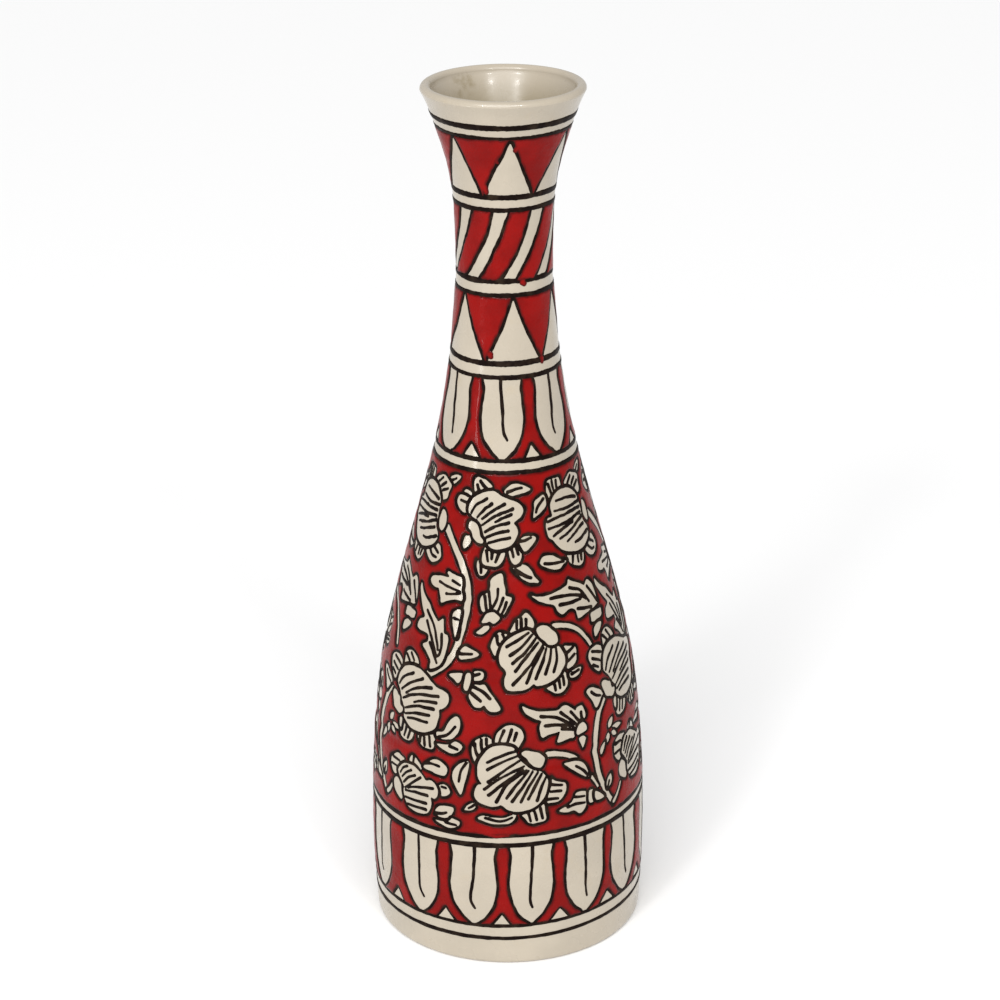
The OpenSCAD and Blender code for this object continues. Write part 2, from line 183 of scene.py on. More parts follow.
def lathe(name, outline, material, node, wobble):
    """A closed turned shell. outline is a closed list of (radius, height, share of the wobble)."""
    turns = 288
    angle = np.arange(turns) * 360 / turns
    r, z, share = (np.array(column)[:, None] for column in zip(*outline))
    a = np.radians(angle)[None, :]
    radius = np.maximum(r + share * wobble * hand_thrown(angle[None, :], z), 0)
    points = np.stack([radius * np.sin(a), -radius * np.cos(a), z + 0 * a], axis=-1).reshape(-1, 3) * MM
    rows = len(outline)
    j, i = np.meshgrid(np.arange(rows), np.arange(turns), indexing="ij")
    up, on = (j + 1) % rows, (i + 1) % turns
    faces = np.stack([j * turns + i, j * turns + on, up * turns + on, up * turns + i],
                     axis=-1).reshape(-1, 4)
    return make_object(name, points, faces, material, node)


# ---- painting ----

# All in mm: the grid's cells, the greatest distance kept, and the usual width of an outline
CELL = 0.42
FAR = 3.0
LINE = 1.22


def distance_to(u, v, path, closed=False, widths=None):
    """Distance to a path: signed and negative inside if closed, less the brush's half width if open."""
    ends = np.roll(path, -1, axis=0) if closed else path[1:]
    starts = path if closed else path[:-1]
    best = np.full(u.shape, 1e9)
    inside = np.zeros(u.shape, bool)
    for k, ((ax, ay), (bx, by)) in enumerate(zip(starts, ends)):
        ex, ey, px, py = bx - ax, by - ay, u - ax, v - ay
        t = np.clip((px * ex + py * ey) / max(ex * ex + ey * ey, 1e-9), 0, 1)
        d = np.hypot(px - ex * t, py - ey * t)
        if widths is not None:
            d = d - (widths[k] * (1 - t) + widths[k + 1] * t) / 2
        best = np.minimum(best, d)
        if closed and abs(ey) > 1e-9:
            inside ^= ((ay > v) != (by > v)) & (px < ex * py / ey)
    return np.where(inside, -best, best)


def smooth_path(path, closed, steps=6):
    """Rounds a path of given points with a curve through them."""
    p = np.asarray(path, float)
    n = len(p)
    pick = (lambda k: p[k % n]) if closed else (lambda k: p[min(max(k, 0), n - 1)])
    out = []
    for k in range(n if closed else n - 1):
        a, b, c, d = pick(k - 1), pick(k), pick(k + 1), pick(k + 2)
        for t in np.arange(steps) / steps:
            out.append(0.5 * (2 * b + (c - a) * t + (2 * a - 5 * b + 4 * c - d) * t**2
                              + (3 * b - a - 3 * c + d) * t**3))
    if not closed:
        out.append(p[-1])
    return np.array(out)


class Band:
    """A band of the wall as an unrolled grid. Distances are in mm, and negative inside what is painted."""

    def __init__(self, low, high, layers, seed):
        self.seed = seed
        widest = outer_r(np.linspace(low, high, 50)).max()
        self.cols = 8 * round(2 * math.pi * widest / CELL / 8)
        self.rows = round((high - low) / CELL) + 1
        angles = np.arange(self.cols) * 360 / self.cols
        self.angle, self.z = np.meshgrid(angles, np.linspace(low, high, self.rows))
        self.at_angle = self.angle + np.degrees(self.waver(seed) / outer_r(self.z))
        self.at_z = self.z + self.waver(seed + 2)
        self.at_r = outer_r(self.at_z)
        self.cream = np.full(self.z.shape, FAR)
        self.black = {name: np.full(self.z.shape, FAR) for name in layers}
        self.limits = np.full(self.z.shape, FAR)
        self.drips = np.full(self.z.shape, FAR)

    def waver(self, seed):
        """How far the brush strayed at each cell: a slow sway and a fine tremor."""
        return 0.30 * noise(self.angle, self.z, 9, seed) + 0.10 * noise(self.angle, self.z, 2.6, seed + 1)

    def flat(self, points, origin):
        """Points as mm to the right of and above an origin."""
        p = np.array(points, float)
        a0, z0 = origin
        return np.column_stack([np.radians(p[:, 0] - a0) * outer_r(p[:, 1]), p[:, 1] - z0])

    def window(self, points, extra=0.0):
        """The grid cells near some points: their index, and flat coordinates for cells and points."""
        origin = np.mean(np.array(points, float), axis=0)
        path = self.flat(points, origin)
        reach = FAR + extra + 0.6
        (u0, v0), (u1, v1) = path.min(axis=0) - reach, path.max(axis=0) + reach
        heights = self.z[:, 0]
        rows = np.arange(*np.searchsorted(heights, [origin[1] + v0, origin[1] + v1]))
        if len(rows) < 2:
            return None
        r = outer_r(heights[rows]).min()
        i0, i1 = ((origin[0] + np.degrees(u / r)) / 360 * self.cols for u in (u0, u1))
        cols = np.arange(math.floor(i0), math.ceil(i1) + 1)[: self.cols] % self.cols
        at = np.ix_(rows, cols)
        turn = (self.at_angle[at] - origin[0] + 180) % 360 - 180
        return at, np.radians(turn) * self.at_r[at], self.at_z[at] - origin[1], path

    def lower(self, field, at, d):
        """Adds a shape to a field."""
        field[at] = np.minimum(field[at], d)

    def cover(self, at, outer):
        """Clears what was painted before where a new shape lies over it."""
        for field in (self.cream, *self.black.values()):
            field[at] = np.maximum(field[at], -outer)

    def shape(self, layer, points, line=LINE, rounded=True):
        """A cream shape with a black outline round it, painted over what is already there."""
        found = self.window(points, line)
        if found is None:
            return
        at, u, v, path = found
        d = distance_to(u, v, smooth_path(path, True) if rounded else path, closed=True)
        self.cover(at, d - line)
        self.lower(self.cream, at, d)
        self.lower(self.black[layer], at, np.maximum(d - line, -d))

    def ribbon(self, layer, points, width, line=LINE * 0.85, end=1.0):
        """A cream ribbon with black edges. end is its width at the far end, as a share."""
        at, u, v, path = self.window(points, width)
        path = smooth_path(path, False)
        widths = width * np.linspace(1, end, len(path))
        d = distance_to(u, v, path, widths=widths)
        self.cover(at, d - line)
        self.lower(self.cream, at, d)
        self.lower(self.black[layer], at, np.maximum(d - line, -d))

    def stroke(self, layer, points, width=1.15, end=0.8):
        """One black brush stroke with round ends."""
        found = self.window(points, width)
        if found is None:
            return
        at, u, v, path = found
        if len(path) > 2:
            path = smooth_path(path, False)
        widths = width * np.linspace(1, end, len(path))
        self.lower(self.black[layer], at, distance_to(u, v, path, widths=widths))

    def drip(self, points, width):
        """A blob of red that ran over the black."""
        at, u, v, path = self.window(points, width)
        widths = width * np.linspace(1, 0.7, len(path))
        self.lower(self.drips, at, distance_to(u, v, path, widths=widths))

    def ring(self, layer, z, width=1.6, tilt=0.0):
        """A black line all round."""
        sway = 0.22 * noise(self.angle, 0 * self.z + z, 40, self.seed + 5)
        middle = z + tilt * np.sin(np.radians(self.angle)) + sway
        half = width / 2 + 0.14 * noise(self.angle, self.z, 10, self.seed + 6)
        d = np.abs(self.z - middle) - half
        self.black[layer] = np.minimum(self.black[layer], np.clip(d, -FAR, FAR))
        return middle

    def between(self, low, high):
        """Keeps the red between two rings."""
        self.limits = np.minimum(np.clip(self.z - low, -FAR, FAR), np.clip(high - self.z, -FAR, FAR))

    def red(self):
        """Distance into the red, which overlaps the black lines a little and never the bare cream."""
        edge = 0.30 + 0.22 * noise(self.angle, self.z, 2.4, self.seed + 7)
        black = np.minimum.reduce(list(self.black.values())) + edge
        inland = np.minimum.reduce([self.cream - 0.4 * LINE, black, self.limits])
        return np.clip(np.maximum(inland, -self.drips), -FAR, FAR)

    def line(self, layer):
        """Distance into a black layer, which runs on a little under the red beside it."""
        ragged = 0.10 * noise(self.angle, self.z, 1.9, self.seed + 8)
        under_red = 0.15 * np.clip(self.cream / 0.3, 0, 1)
        return np.clip(np.minimum(ragged + under_red - self.black[layer], self.limits), -FAR, FAR)


# Corner 0 to 3 of a cell run round it from its low left; 4 to 7 are crossings on its four sides
CUTS = {
    1: [0, 4, 7], 2: [4, 1, 5], 3: [0, 1, 5, 7], 4: [5, 2, 6], 6: [4, 1, 2, 6], 7: [0, 1, 2, 6, 7],
    8: [6, 3, 7], 9: [0, 4, 6, 3], 11: [0, 1, 5, 6, 3], 12: [5, 2, 3, 7], 13: [0, 4, 5, 2, 3],
    14: [4, 1, 2, 3, 7], 15: [0, 1, 2, 3],
}
TWO_CUTS = {5: ([0, 4, 7], [5, 2, 6]), 10: ([4, 1, 5], [6, 3, 7])}


def cut_triangles(field):
    """Triangles that cover the part of a wrapped grid where field is above 0."""
    rows, cols = field.shape
    inside = field > 0
    low, high = inside[:-1], inside[1:]
    code = low * 1 + np.roll(low, -1, 1) * 2 + np.roll(high, -1, 1) * 4 + high * 8
    side, post = rows * cols, 2 * rows * cols
    parts = []
    for value in range(1, 16):
        j, i = np.nonzero(code == value)
        if not len(j):
            continue
        on = (i + 1) % cols
        spots = [j * cols + i, j * cols + on, (j + 1) * cols + on, (j + 1) * cols + i,
                 side + j * cols + i, post + j * cols + on, side + (j + 1) * cols + i, post + j * cols + i]
        for ring in TWO_CUTS.get(value) or [CUTS[value]]:
            for k in range(1, len(ring) - 1):
                parts.append(np.stack([spots[ring[0]], spots[ring[k]], spots[ring[k + 1]]], axis=1))
    return np.concatenate(parts)


def grid_points(band, field):
    """Angle, height and distance inland of every corner and side crossing of a band's grid."""
    step = 360 / field.shape[1]
    right, above = np.roll(field, -1, 1), np.roll(field, -1, 0)
    tr = np.clip(field / np.where(field == right, 1, field - right), 0.03, 0.97)
    tu = np.clip(field / np.where(field == above, 1, field - above), 0.03, 0.97)
    dz = band.z[1, 0] - band.z[0, 0]
    angle = np.concatenate([band.angle.ravel(), (band.angle + tr * step).ravel(), band.angle.ravel()])
    z = np.concatenate([band.z.ravel(), band.z.ravel(), (band.z + tu * dz).ravel()])
    inland = np.concatenate([field.ravel(), np.zeros(2 * field.size)])
    return angle, z, inland


def thin_out(band, field, block, deep, angle, z):
    """Merges the corners of blocks that lie deep inside, so that flat stretches take few triangles."""
    rows, cols = field.shape
    same = np.arange(3 * rows * cols)
    if block < 2:
        return same, angle, z
    tall = rows // block * block
    blocks = field[:tall].reshape(tall // block, block, cols // block, block)
    merge = blocks.min(axis=(1, 3)) > deep
    ids = np.arange(tall * cols).reshape(tall // block, block, cols // block, block)
    first = ids[:, 0, :, 0]
    target = np.where(merge[:, None, :, None], first[:, None, :, None], ids)
    same[: tall * cols] = target.reshape(tall, cols).ravel()
    angle, z = angle.copy(), z.copy()
    half = (block - 1) / 2
    angle[first[merge]] += half * 360 / cols
    z[first[merge]] += half * (band.z[1, 0] - band.z[0, 0])
    return same, angle, z


def without_slivers(triangles):
    """Drops the triangles that merging has flattened to a line."""
    a, b, c = triangles.T
    return triangles[(a != b) & (b != c) & (c != a)]


# How far the enamel's base lies inside the glaze, and how deep inland a block must lie to be merged, in mm
SUNK = 0.12
DEEP_INLAND = 1.3


def enamel(name, band, field, height, rim, material, thin=2):
    """A raised, closed shell of enamel that covers the part of a band where field is above 0."""
    triangles = cut_triangles(field)
    angle, z, inland = grid_points(band, field)
    top_ids, top_angle, top_z = thin_out(band, field, thin, DEEP_INLAND, angle, z)
    base_ids, base_angle, base_z = thin_out(band, field, 4, DEEP_INLAND, angle, z)
    count = len(angle)
    edges = np.concatenate([triangles[:, [0, 1]], triangles[:, [1, 2]], triangles[:, [2, 0]]])
    forward = edges[:, 0] * count + edges[:, 1]
    backward = edges[:, 1] * count + edges[:, 0]
    open_edges = edges[~np.isin(forward, backward)]
    top = without_slivers(top_ids[triangles])
    base = without_slivers(base_ids[triangles])[:, ::-1] + count
    a, b = open_edges.T
    sides = np.concatenate([np.stack([b, a, a + count], 1), np.stack([b, a + count, b + count], 1)])
    everything = np.concatenate([top, base, sides])
    used, faces = np.unique(everything, return_inverse=True)
    faces = faces.reshape(-1, 3)
    swell = np.sqrt(1 - (1 - np.clip(inland / rim, 0, 1)) ** 2)
    body = noise(top_angle, top_z, 5, 91) * 0.12 + 1
    lift = height * (0.35 + 0.65 * swell * body)
    points = np.concatenate([wall_point(top_angle, top_z, lift), wall_point(base_angle, base_z, -SUNK)])
    piece = make_object(name, points[used], faces, material, name)
    depth = piece.data.attributes.new("inland", "FLOAT", "POINT")
    depth.data.foreach_set("value", np.concatenate([inland, 0 * inland])[used].astype(np.float32))
    return piece


# ---- materials ----


def node_material(name, **sockets):
    """A new material, its node tree and its shader, with the shader's named inputs set."""
    material = bpy.data.materials.new(name)
    material.use_nodes = True
    shader = material.node_tree.nodes["Principled BSDF"]
    for socket, value in sockets.items():
        shader.inputs[socket.replace("_", " ")].default_value = value
    return material, material.node_tree, shader


def add(tree, kind, links=None, **values):
    """A shader node with its inputs set; links maps an input's name to a socket."""
    node = tree.nodes.new("ShaderNode" + kind)
    for key, value in values.items():
        if hasattr(node, key):
            setattr(node, key, value)
        else:
            node.inputs[key.replace("_", " ")].default_value = value
    for key, socket in (links or {}).items():
        tree.links.new(socket, node.inputs[key])
    return node


def speckle(tree, place, scale, detail=3.0, rough=0.55):
    """Cloudy noise from 0 to 1."""
    clouds = add(tree, "TexNoise", {"Vector": place}, Scale=scale, Detail=detail, Roughness=rough)
    return clouds.outputs["Fac"]


def spread(tree, value, low, high, to_low=0.0, to_high=1.0):
    """Maps low to high smoothly onto to_low to to_high."""
    return add(tree, "MapRange", {"Value": value}, From_Min=low, From_Max=high, To_Min=to_low, To_Max=to_high,
               interpolation_type="SMOOTHSTEP").outputs["Result"]


def blend(tree, amount, first, second):
    """Mixes two colours, each a tuple or a socket."""
    mix = tree.nodes.new("ShaderNodeMix")
    mix.data_type = "RGBA"
    tree.links.new(amount, mix.inputs["Factor"])
    for key, colour in (("A", first), ("B", second)):
        socket = [s for s in mix.inputs if s.name == key and s.type == "RGBA"][0]
        if isinstance(colour, tuple):
            socket.default_value = (*colour, 1)
        else:
            tree.links.new(colour, socket)
    return [s for s in mix.outputs if s.type == "RGBA"][0]


def shade(colour, factor):
    """A colour made darker or lighter."""
    return tuple(c * factor for c in colour)


def glaze_material(name, colour, shine):
    """Cream tin glaze: cloudy, with fine iron specks and the slight ripple of a dipped coat. With the inside
    colour it also carries painted shade down the neck.
    """
    material, tree, shader = node_material(name, Coat_Weight=shine, Coat_Roughness=0.10, IOR=1.45)
    place = add(tree, "TexCoord").outputs["Object"]
    cloud = spread(tree, speckle(tree, place, 38, 4), 0.36, 0.66)
    base = blend(tree, cloud, shade(colour, 0.95), shade(colour, 1.03))
    # Painted shade inside the neck: darkest deep down, fading to the plain cream towards the mouth.
    if colour is SHADED_INSIDE_COLOUR:
        height = add(tree, "SeparateXYZ", {"Vector": place}).outputs["Z"]
        mouth_shade_fade = spread(tree, height, (TOP - 17) * MM, (TOP - 1) * MM)
        base = blend(tree, mouth_shade_fade, base, CREAM_COLOUR)
    warm = spread(tree, speckle(tree, place, 95, 5, 0.6), 0.55, 0.80)
    base = blend(tree, warm, base, (colour[0] * 0.97, colour[1] * 0.94, colour[2] * 0.88))
    spots = add(tree, "TexVoronoi", {"Vector": place}, Scale=210.0).outputs["Distance"]
    chance = spread(tree, speckle(tree, place, 60, 2), 0.72, 0.77)
    dot = spread(tree, spots, 0.03, 0.07, 0.8, 0.0)
    both = add(tree, "Math", operation="MULTIPLY")
    tree.links.new(chance, both.inputs[0])
    tree.links.new(dot, both.inputs[1])
    base = blend(tree, both.outputs[0], base, (0.13, 0.075, 0.035))
    tree.links.new(base, shader.inputs["Base Color"])
    tree.links.new(spread(tree, speckle(tree, place, 120), 0.3, 0.7, 0.22, 0.38),
                   shader.inputs["Roughness"])
    ripple = add(tree, "Bump", {"Height": speckle(tree, place, 160, 2)}, Strength=0.12, Distance=0.0005)
    tree.links.new(ripple.outputs["Normal"], shader.inputs["Normal"])
    return material


def red_material():
    """Thick red enamel that pools darker beside the black lines."""
    material, tree, shader = node_material("red_enamel", Coat_Weight=0.10, Coat_Roughness=0.05, IOR=1.45,
                                           Specular_IOR_Level=0.07)
    place = add(tree, "TexCoord").outputs["Object"]
    pool = spread(tree, speckle(tree, place, 70, 4), 0.34, 0.68)
    base = blend(tree, pool, shade(RED_COLOUR, 0.82), shade(RED_COLOUR, 1.15))
    inland = add(tree, "Attribute", attribute_name="inland").outputs["Fac"]
    wander = add(tree, "Math", operation="MULTIPLY_ADD")
    tree.links.new(speckle(tree, place, 300, 2), wander.inputs[0])
    wander.inputs[1].default_value = 0.9
    tree.links.new(inland, wander.inputs[2])
    edge = spread(tree, wander.outputs[0], 0.45, 1.55, 1.0, 0.0)
    base = blend(tree, edge, base, (0.060, 0.0012, 0.001))
    tree.links.new(base, shader.inputs["Base Color"])
    tree.links.new(spread(tree, speckle(tree, place, 220), 0.3, 0.7, 0.24, 0.38),
                   shader.inputs["Roughness"])
    brushed = add(tree, "Bump", {"Height": speckle(tree, place, 330, 3)}, Strength=0.45, Distance=0.0006)
    tree.links.new(brushed.outputs["Normal"], shader.inputs["Normal"])
    return material


def black_material():
    """Black line enamel, a little brown where it is thin."""
    material, tree, shader = node_material("black_enamel", Coat_Weight=0.0, Coat_Roughness=0.2, IOR=1.4,
                                           Specular_IOR_Level=0.08)
    place = add(tree, "TexCoord").outputs["Object"]
    thin = spread(tree, speckle(tree, place, 260, 4), 0.42, 0.74)
    base = blend(tree, thin, BLACK_COLOUR, (0.020, 0.012, 0.007))
    tree.links.new(base, shader.inputs["Base Color"])
    tree.links.new(spread(tree, speckle(tree, place, 240), 0.3, 0.7, 0.40, 0.58),
                   shader.inputs["Roughness"])
    grain = add(tree, "Bump", {"Height": speckle(tree, place, 500, 3)}, Strength=0.25, Distance=0.0003)
    tree.links.new(grain.outputs["Normal"], shader.inputs["Normal"])
    return material


def clay_material():
    """Bare fired clay of the foot ring."""
    material, tree, shader = node_material("fired_clay", Specular_IOR_Level=0.25)
    place = add(tree, "TexCoord").outputs["Object"]
    grit = spread(tree, speckle(tree, place, 420, 5), 0.35, 0.68)
    base = blend(tree, grit, shade(CLAY_COLOUR, 0.8), CLAY_COLOUR)
    tree.links.new(base, shader.inputs["Base Color"])
    tree.links.new(spread(tree, speckle(tree, place, 300), 0.3, 0.7, 0.7, 0.9), shader.inputs["Roughness"])
    sandy = add(tree, "Bump", {"Height": speckle(tree, place, 900, 3)}, Strength=0.4, Distance=0.0004)
    tree.links.new(sandy.outputs["Normal"], shader.inputs["Normal"])
    return material


CREAM = glaze_material("cream_glaze", CREAM_COLOUR, 0.35)
# The glaze inside the neck: the cream glaze with painted shade.
INSIDE = glaze_material("inside_glaze", SHADED_INSIDE_COLOUR, 0.14)
RED = red_material()
BLACK = black_material()
CLAY = clay_material()

# How high each enamel stands on the glaze, and how wide its rounded rim is, in mm
BLACK_H, RING_H, RED_H = 0.17, 0.20, 0.30
BLACK_RIM, RED_RIM = 0.5, 0.8


def ring_pair(node):
    """Heights of the lower and upper ring of a CAD ring node, from its mesh."""
    low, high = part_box(node)
    half_line = 0.8
    return low[2] / MM + half_line, high[2] / MM - half_line


LIP = ring_pair("lip_rings")
UPPER = ring_pair("upper_collar_rings")
MIDDLE = ring_pair("middle_collar_rings")
LOWER = ring_pair("lower_collar_rings")
SHOULDER = ring_pair("shoulder_rings")
WAIST = ring_pair("waist_rings")
FOOT = ring_pair("foot_rings")

# ---- body and glaze ----

# Thickness of a glaze coat, and how far a coat sinks where the other laps over it, in mm
COAT = 0.4
LAP = 0.03


def bow(centre_r, centre_z, radius, start, stop, steps, share):
    """Points of a lathe outline round an arc, from start to stop degrees."""
    turns = np.radians(np.linspace(start, stop, steps))
    return [(centre_r + radius * math.cos(t), centre_z + radius * math.sin(t), share) for t in turns]


def glaze_coats():
    """The clay body and its two glaze coats as smooth turned shells.

    The outer coat runs over the lip, and the inner coat starts from under it on the inner side.
    """
    heights = np.concatenate([np.arange(FOOT_Z, LIP_Z, 1.25), [LIP_Z]])
    edge = 1.6
    foot_r = outer_r(FOOT_Z) - edge - 0.1
    lip_mid = (outer_r(LIP_Z) + inner_r(LIP_Z)) / 2
    lip_half = lip_mid - inner_r(LIP_Z)

    def lap(start, stop, sink_from, sink_to):
        """Points over the lip that sink a little where the other coat covers them."""
        steps = range(start, stop + 1, 6)
        sink = [LAP * min(max((t - sink_from) / (sink_to - sink_from), 0), 1) for t in steps]
        turns = np.radians(steps)
        return [(lip_mid + (lip_half - d) * math.cos(t), LIP_Z + (lip_half - d) * math.sin(t), 0.9)
                for t, d in zip(turns, sink)]

    outside = bow(foot_r, edge, edge, -60, 0, 7, 1.0) + [(outer_r(z), z, 1.0) for z in heights]
    outside += lap(6, 150, 108, 138) + bow(lip_mid, LIP_Z, lip_half - COAT, 150, 8, 12, 0.9)
    outside += [(outer_r(z) - COAT, z, 1.0) for z in heights[::-5]]
    outside += bow(foot_r - COAT, edge, edge, 0, -60, 5, 1.0)
    lathe("outer_glaze", outside, CREAM, "outer_glaze", 1.0)

    floor_z = IN_Z.min() + COAT
    corner = 8.5
    corner_r = inner_r(19.0) - corner
    depths = np.arange(TOP - 3, 19, -1.5)
    inside = lap(108, 180, 138, 108) + [(inner_r(z), z, 0.9) for z in depths]
    inside += bow(corner_r, floor_z + corner, corner, 0, -90, 12, 0.3)
    inside += [(r, floor_z, 0.0) for r in np.linspace(corner_r, 0.4, 8)]
    inside += [(r, floor_z - COAT, 0.0) for r in np.linspace(0.4, corner_r, 8)]
    inside += bow(corner_r, floor_z + corner, corner + COAT, -90, 0, 8, 0.3)
    inside += [(inner_r(z, COAT), z, 0.9) for z in depths[::-4]]
    inside += bow(lip_mid, LIP_Z, lip_half - COAT, 178, 110, 8, 0.9)
    lathe("inner_glaze", inside[::-1], INSIDE, "inner_glaze", 1.0)

    # The clay lies just inside both coats and stands on its own unglazed foot
    skin = COAT * 0.6
    clay = [(0.4, 0.0, 0.0), (foot_r - edge, 0.0, 1.0)] + bow(foot_r - skin, edge, edge, -90, 0, 8, 1.0)
    clay += [(outer_r(z) - skin, z, 1.0) for z in heights[::2]]
    clay += bow(lip_mid, LIP_Z, lip_half - skin, 8, 172, 12, 0.9)
    clay += [(inner_r(z, skin), z, 0.9) for z in np.arange(TOP - 5, 19, -3)]
    clay += bow(corner_r, floor_z + corner, corner + skin, 0, -90, 8, 0.3)
    clay += [(0.4, floor_z - skin, 0.0)]
    lathe("clay_body", clay, CLAY, "clay_body", 1.0)


# ---- borders ----


def lay_enamel(band, red, *outlines):
    """The red of a painted band, then its black outlines."""
    enamel(red, band, band.red(), RED_H, RED_RIM, RED)
    for outline in outlines:
        enamel(outline, band, band.line(outline), BLACK_H, BLACK_RIM, BLACK)


def triangle_band(red, outline, low, high, tips, feet, drips, seed):
    """Cream triangles between a low and a high ring. tips and feet are the zigzag's angles."""
    band = Band(low - 2.4, high + 2.4, [outline, "edge"], seed)
    for k, tip in enumerate(tips):
        left, right = feet[k - 1] if k else feet[-1] - 360, feet[k]
        middle = low + (high - low) * 0.5
        band.shape(outline, [(left + 1, low - 1), (left + (tip - left) * 0.62, middle), (tip, high - 1.2),
                             (right + (tip - right) * 0.60, middle), (right - 1, low - 1)], rounded=False)
    band.between(band.ring("edge", low), band.ring("edge", high))
    for drip in drips:
        band.drip(*drip)
    lay_enamel(band, red, outline)


def upper_triangles():
    """The triangles below the lip, with the drips of red that ran over their lines."""
    triangle_band("upper_triangles_red", "upper_triangles_outline", UPPER[1], LIP[0],
                  (5, 66, 126, 187, 247, 312), (33, 95, 156, 216, 279, 336),
                  (([(13.5, 289.6), (9.8, 287.8)], 2.6), ([(-21, 274.6), (-19, 272.9)], 2.7),
                   ([(-9.5, 285.4), (-5.8, 283.4)], 1.7), ([(41, 277.2), (40, 276.3)], 1.6),
                   ([(158, 275), (159, 274.1)], 2.2)), 11)


def lower_triangles():
    """The triangles low on the neck."""
    triangle_band("lower_triangles_red", "lower_triangles_outline", LOWER[1], MIDDLE[0],
                  (10, 72, 132, 190, 250, 307), (41, 102, 161, 220, 278, 339),
                  (([(41.5, 214.6), (41.5, 213.3)], 2.1), ([(-16, 217), (-15, 216.2)], 2.7),
                   ([(218, 216.8), (219, 215.9)], 2.2)), 21)


def spiral_stripes():
    """Cream stripes that lean and curl round the neck on a red ground."""
    low, high = MIDDLE[1], UPPER[0]
    outline = "spiral_stripes_outline"
    band = Band(low - 2.4, high + 2.4, [outline, "edge"], 31)
    lean, half = 39, 8.0
    shares = np.linspace(-0.08, 1.08, 9)

    def side(start, way):
        curl = 0.55 - 0.15 * way
        return [(start + lean * ((1 + curl) * s - curl * s * s) + way * half, low + s * (high - low))
                for s in shares]

    for k, stray in enumerate((-1.5, -1.5, 1.0, -2.0, 1.5, 0.5, -1.0, -1.5)):
        start = 4 + k * 360 / 8 + stray
        band.shape(outline, side(start, 1) + side(start, -1)[::-1], rounded=False)
    band.between(band.ring("edge", low), band.ring("edge", high))
    band.drip([(22, 241.5), (24, 240.8)], 2.5)
    band.drip([(152, 241.9), (156, 240.9)], 2.4)
    lay_enamel(band, "spiral_stripes_red", outline)


def petal_border(red, outline, low, high, middles, half, midrib, gap, tilt, seed):
    """Cream petals that hang from the high ring, with a small cream triangle between each two.

    half is half a petal's width in degrees, midrib the share of the height at which its midrib ends, and
    gap the share of the height and half the width of a triangle. tilt is how far the brush's ring leans.
    """
    band = Band(low - 3.2, high + 3.2, [outline, "edge"], seed)
    rng = np.random.default_rng(seed)
    h = high - low
    tall = [(-0.87, 1.06), (-0.90, 0.85), (-0.98, 0.62), (-1.0, 0.48), (-0.86, 0.29), (-0.52, 0.13),
            (-0.20, 0.05)]

    def lean(angle, z):
        return z + tilt * math.sin(math.radians(angle))

    for middle in middles:
        w = half * rng.uniform(0.95, 1.05)
        dip = rng.uniform(-0.02, 0.01)

        def side(way):
            """One side of the petal, from its head down. Only the head stays level with the ring."""
            return [(middle + way * x * w, lean(middle, low + (y + (dip if y < 1 else 0)) * h))
                    for x, y in tall]

        tip = (middle + rng.uniform(-0.05, 0.05) * w, lean(middle, low + 0.012 * h))
        band.shape(outline, side(1) + [tip] + side(-1)[::-1])
        sway = rng.uniform(-0.12, 0.12) * w
        band.stroke(outline, [(middle - sway, lean(middle, high)),
                              (middle - sway * 0.2, lean(middle, low + 0.62 * h)),
                              (middle + sway - 0.05 * w, lean(middle, low + (midrib + 0.12) * h)),
                              (middle + sway + rng.uniform(-0.05, 0.15) * w, lean(middle, low + midrib * h))],
                    1.25, 0.7)
    top, foot = gap
    for k, middle in enumerate(middles):
        after = middles[(k + 1) % len(middles)] + (360 if k + 1 == len(middles) else 0)
        centre = (middle + after) / 2
        band.shape(outline, [(centre - foot, lean(centre, low + 0.2)),
                             (centre, lean(centre, low + top * h)),
                             (centre + foot, lean(centre, low + 0.2))], line=LINE * 0.9, rounded=False)
    band.between(band.ring("edge", low, tilt=tilt), band.ring("edge", high, tilt=tilt))
    lay_enamel(band, red, outline)


def neck_petals():
    """The petals above the shoulder."""
    petal_border("neck_petals_red", "neck_petals_outline", SHOULDER[1], LOWER[0],
                 (-3, 48, 99, 150, 201, 252, 304.5), 18.2, 0.24, (0.17, 7.0), 0.0, 41)


def foot_petals():
    """The petals above the foot."""
    petal_border("foot_petals_red", "foot_petals_outline", FOOT[1], WAIST[0],
                 (-14.8, 9.3, 33.6, 57.6, 84, 109.6, 135, 161, 187, 213, 239, 265.5, 292, 320),
                 9.1, 0.21, (0.145, 4.0), 1.0, 51)


def ring_node(node, pair, widths, tilt, seed):
    """Two black rings of one node, painted on a band that reaches a little past them."""
    past, inset = 4.2, 0.12
    band = Band(pair[0] - past, pair[1] + past, [node], seed)
    for z, width in zip(pair, widths):
        band.ring(node, z, width, tilt)
    enamel(node, band, band.line(node) - inset, RING_H, BLACK_RIM, BLACK, thin=1)


def all_rings():
    """Every pair of rings, from the lip down."""
    for k, (node, pair, widths, tilt) in enumerate((
            ("lip_rings", LIP, (1.4, 2.0), 0.0), ("upper_collar_rings", UPPER, (1.6, 1.8), 0.0),
            ("middle_collar_rings", MIDDLE, (1.6, 1.8), 0.0), ("lower_collar_rings", LOWER, (1.5, 1.8),
                                                               0.0),
            ("shoulder_rings", SHOULDER, (1.6, 1.6), 0.0), ("waist_rings", WAIST, (1.9, 1.9), 1.0),
            ("foot_rings", FOOT, (1.5, 1.4), 1.0))):
        ring_node(node, pair, widths, tilt, 60 + 7 * k)


# ---- flower field ----

VINES, LEAVES, FLOWERS = "floral_vines_outline", "floral_leaves_outline", "floral_flowers_outline"
# The painter's repeat: three turns of 112 degrees, and a sprig that fills what is left at the back
TURNS = ((-112, 0), (0, 0), (112, 0))


def moved(points, turn, rise):
    """Points of (angle, height), turned round the vase and raised."""
    return [(a + turn, z + rise) for a, z in points]


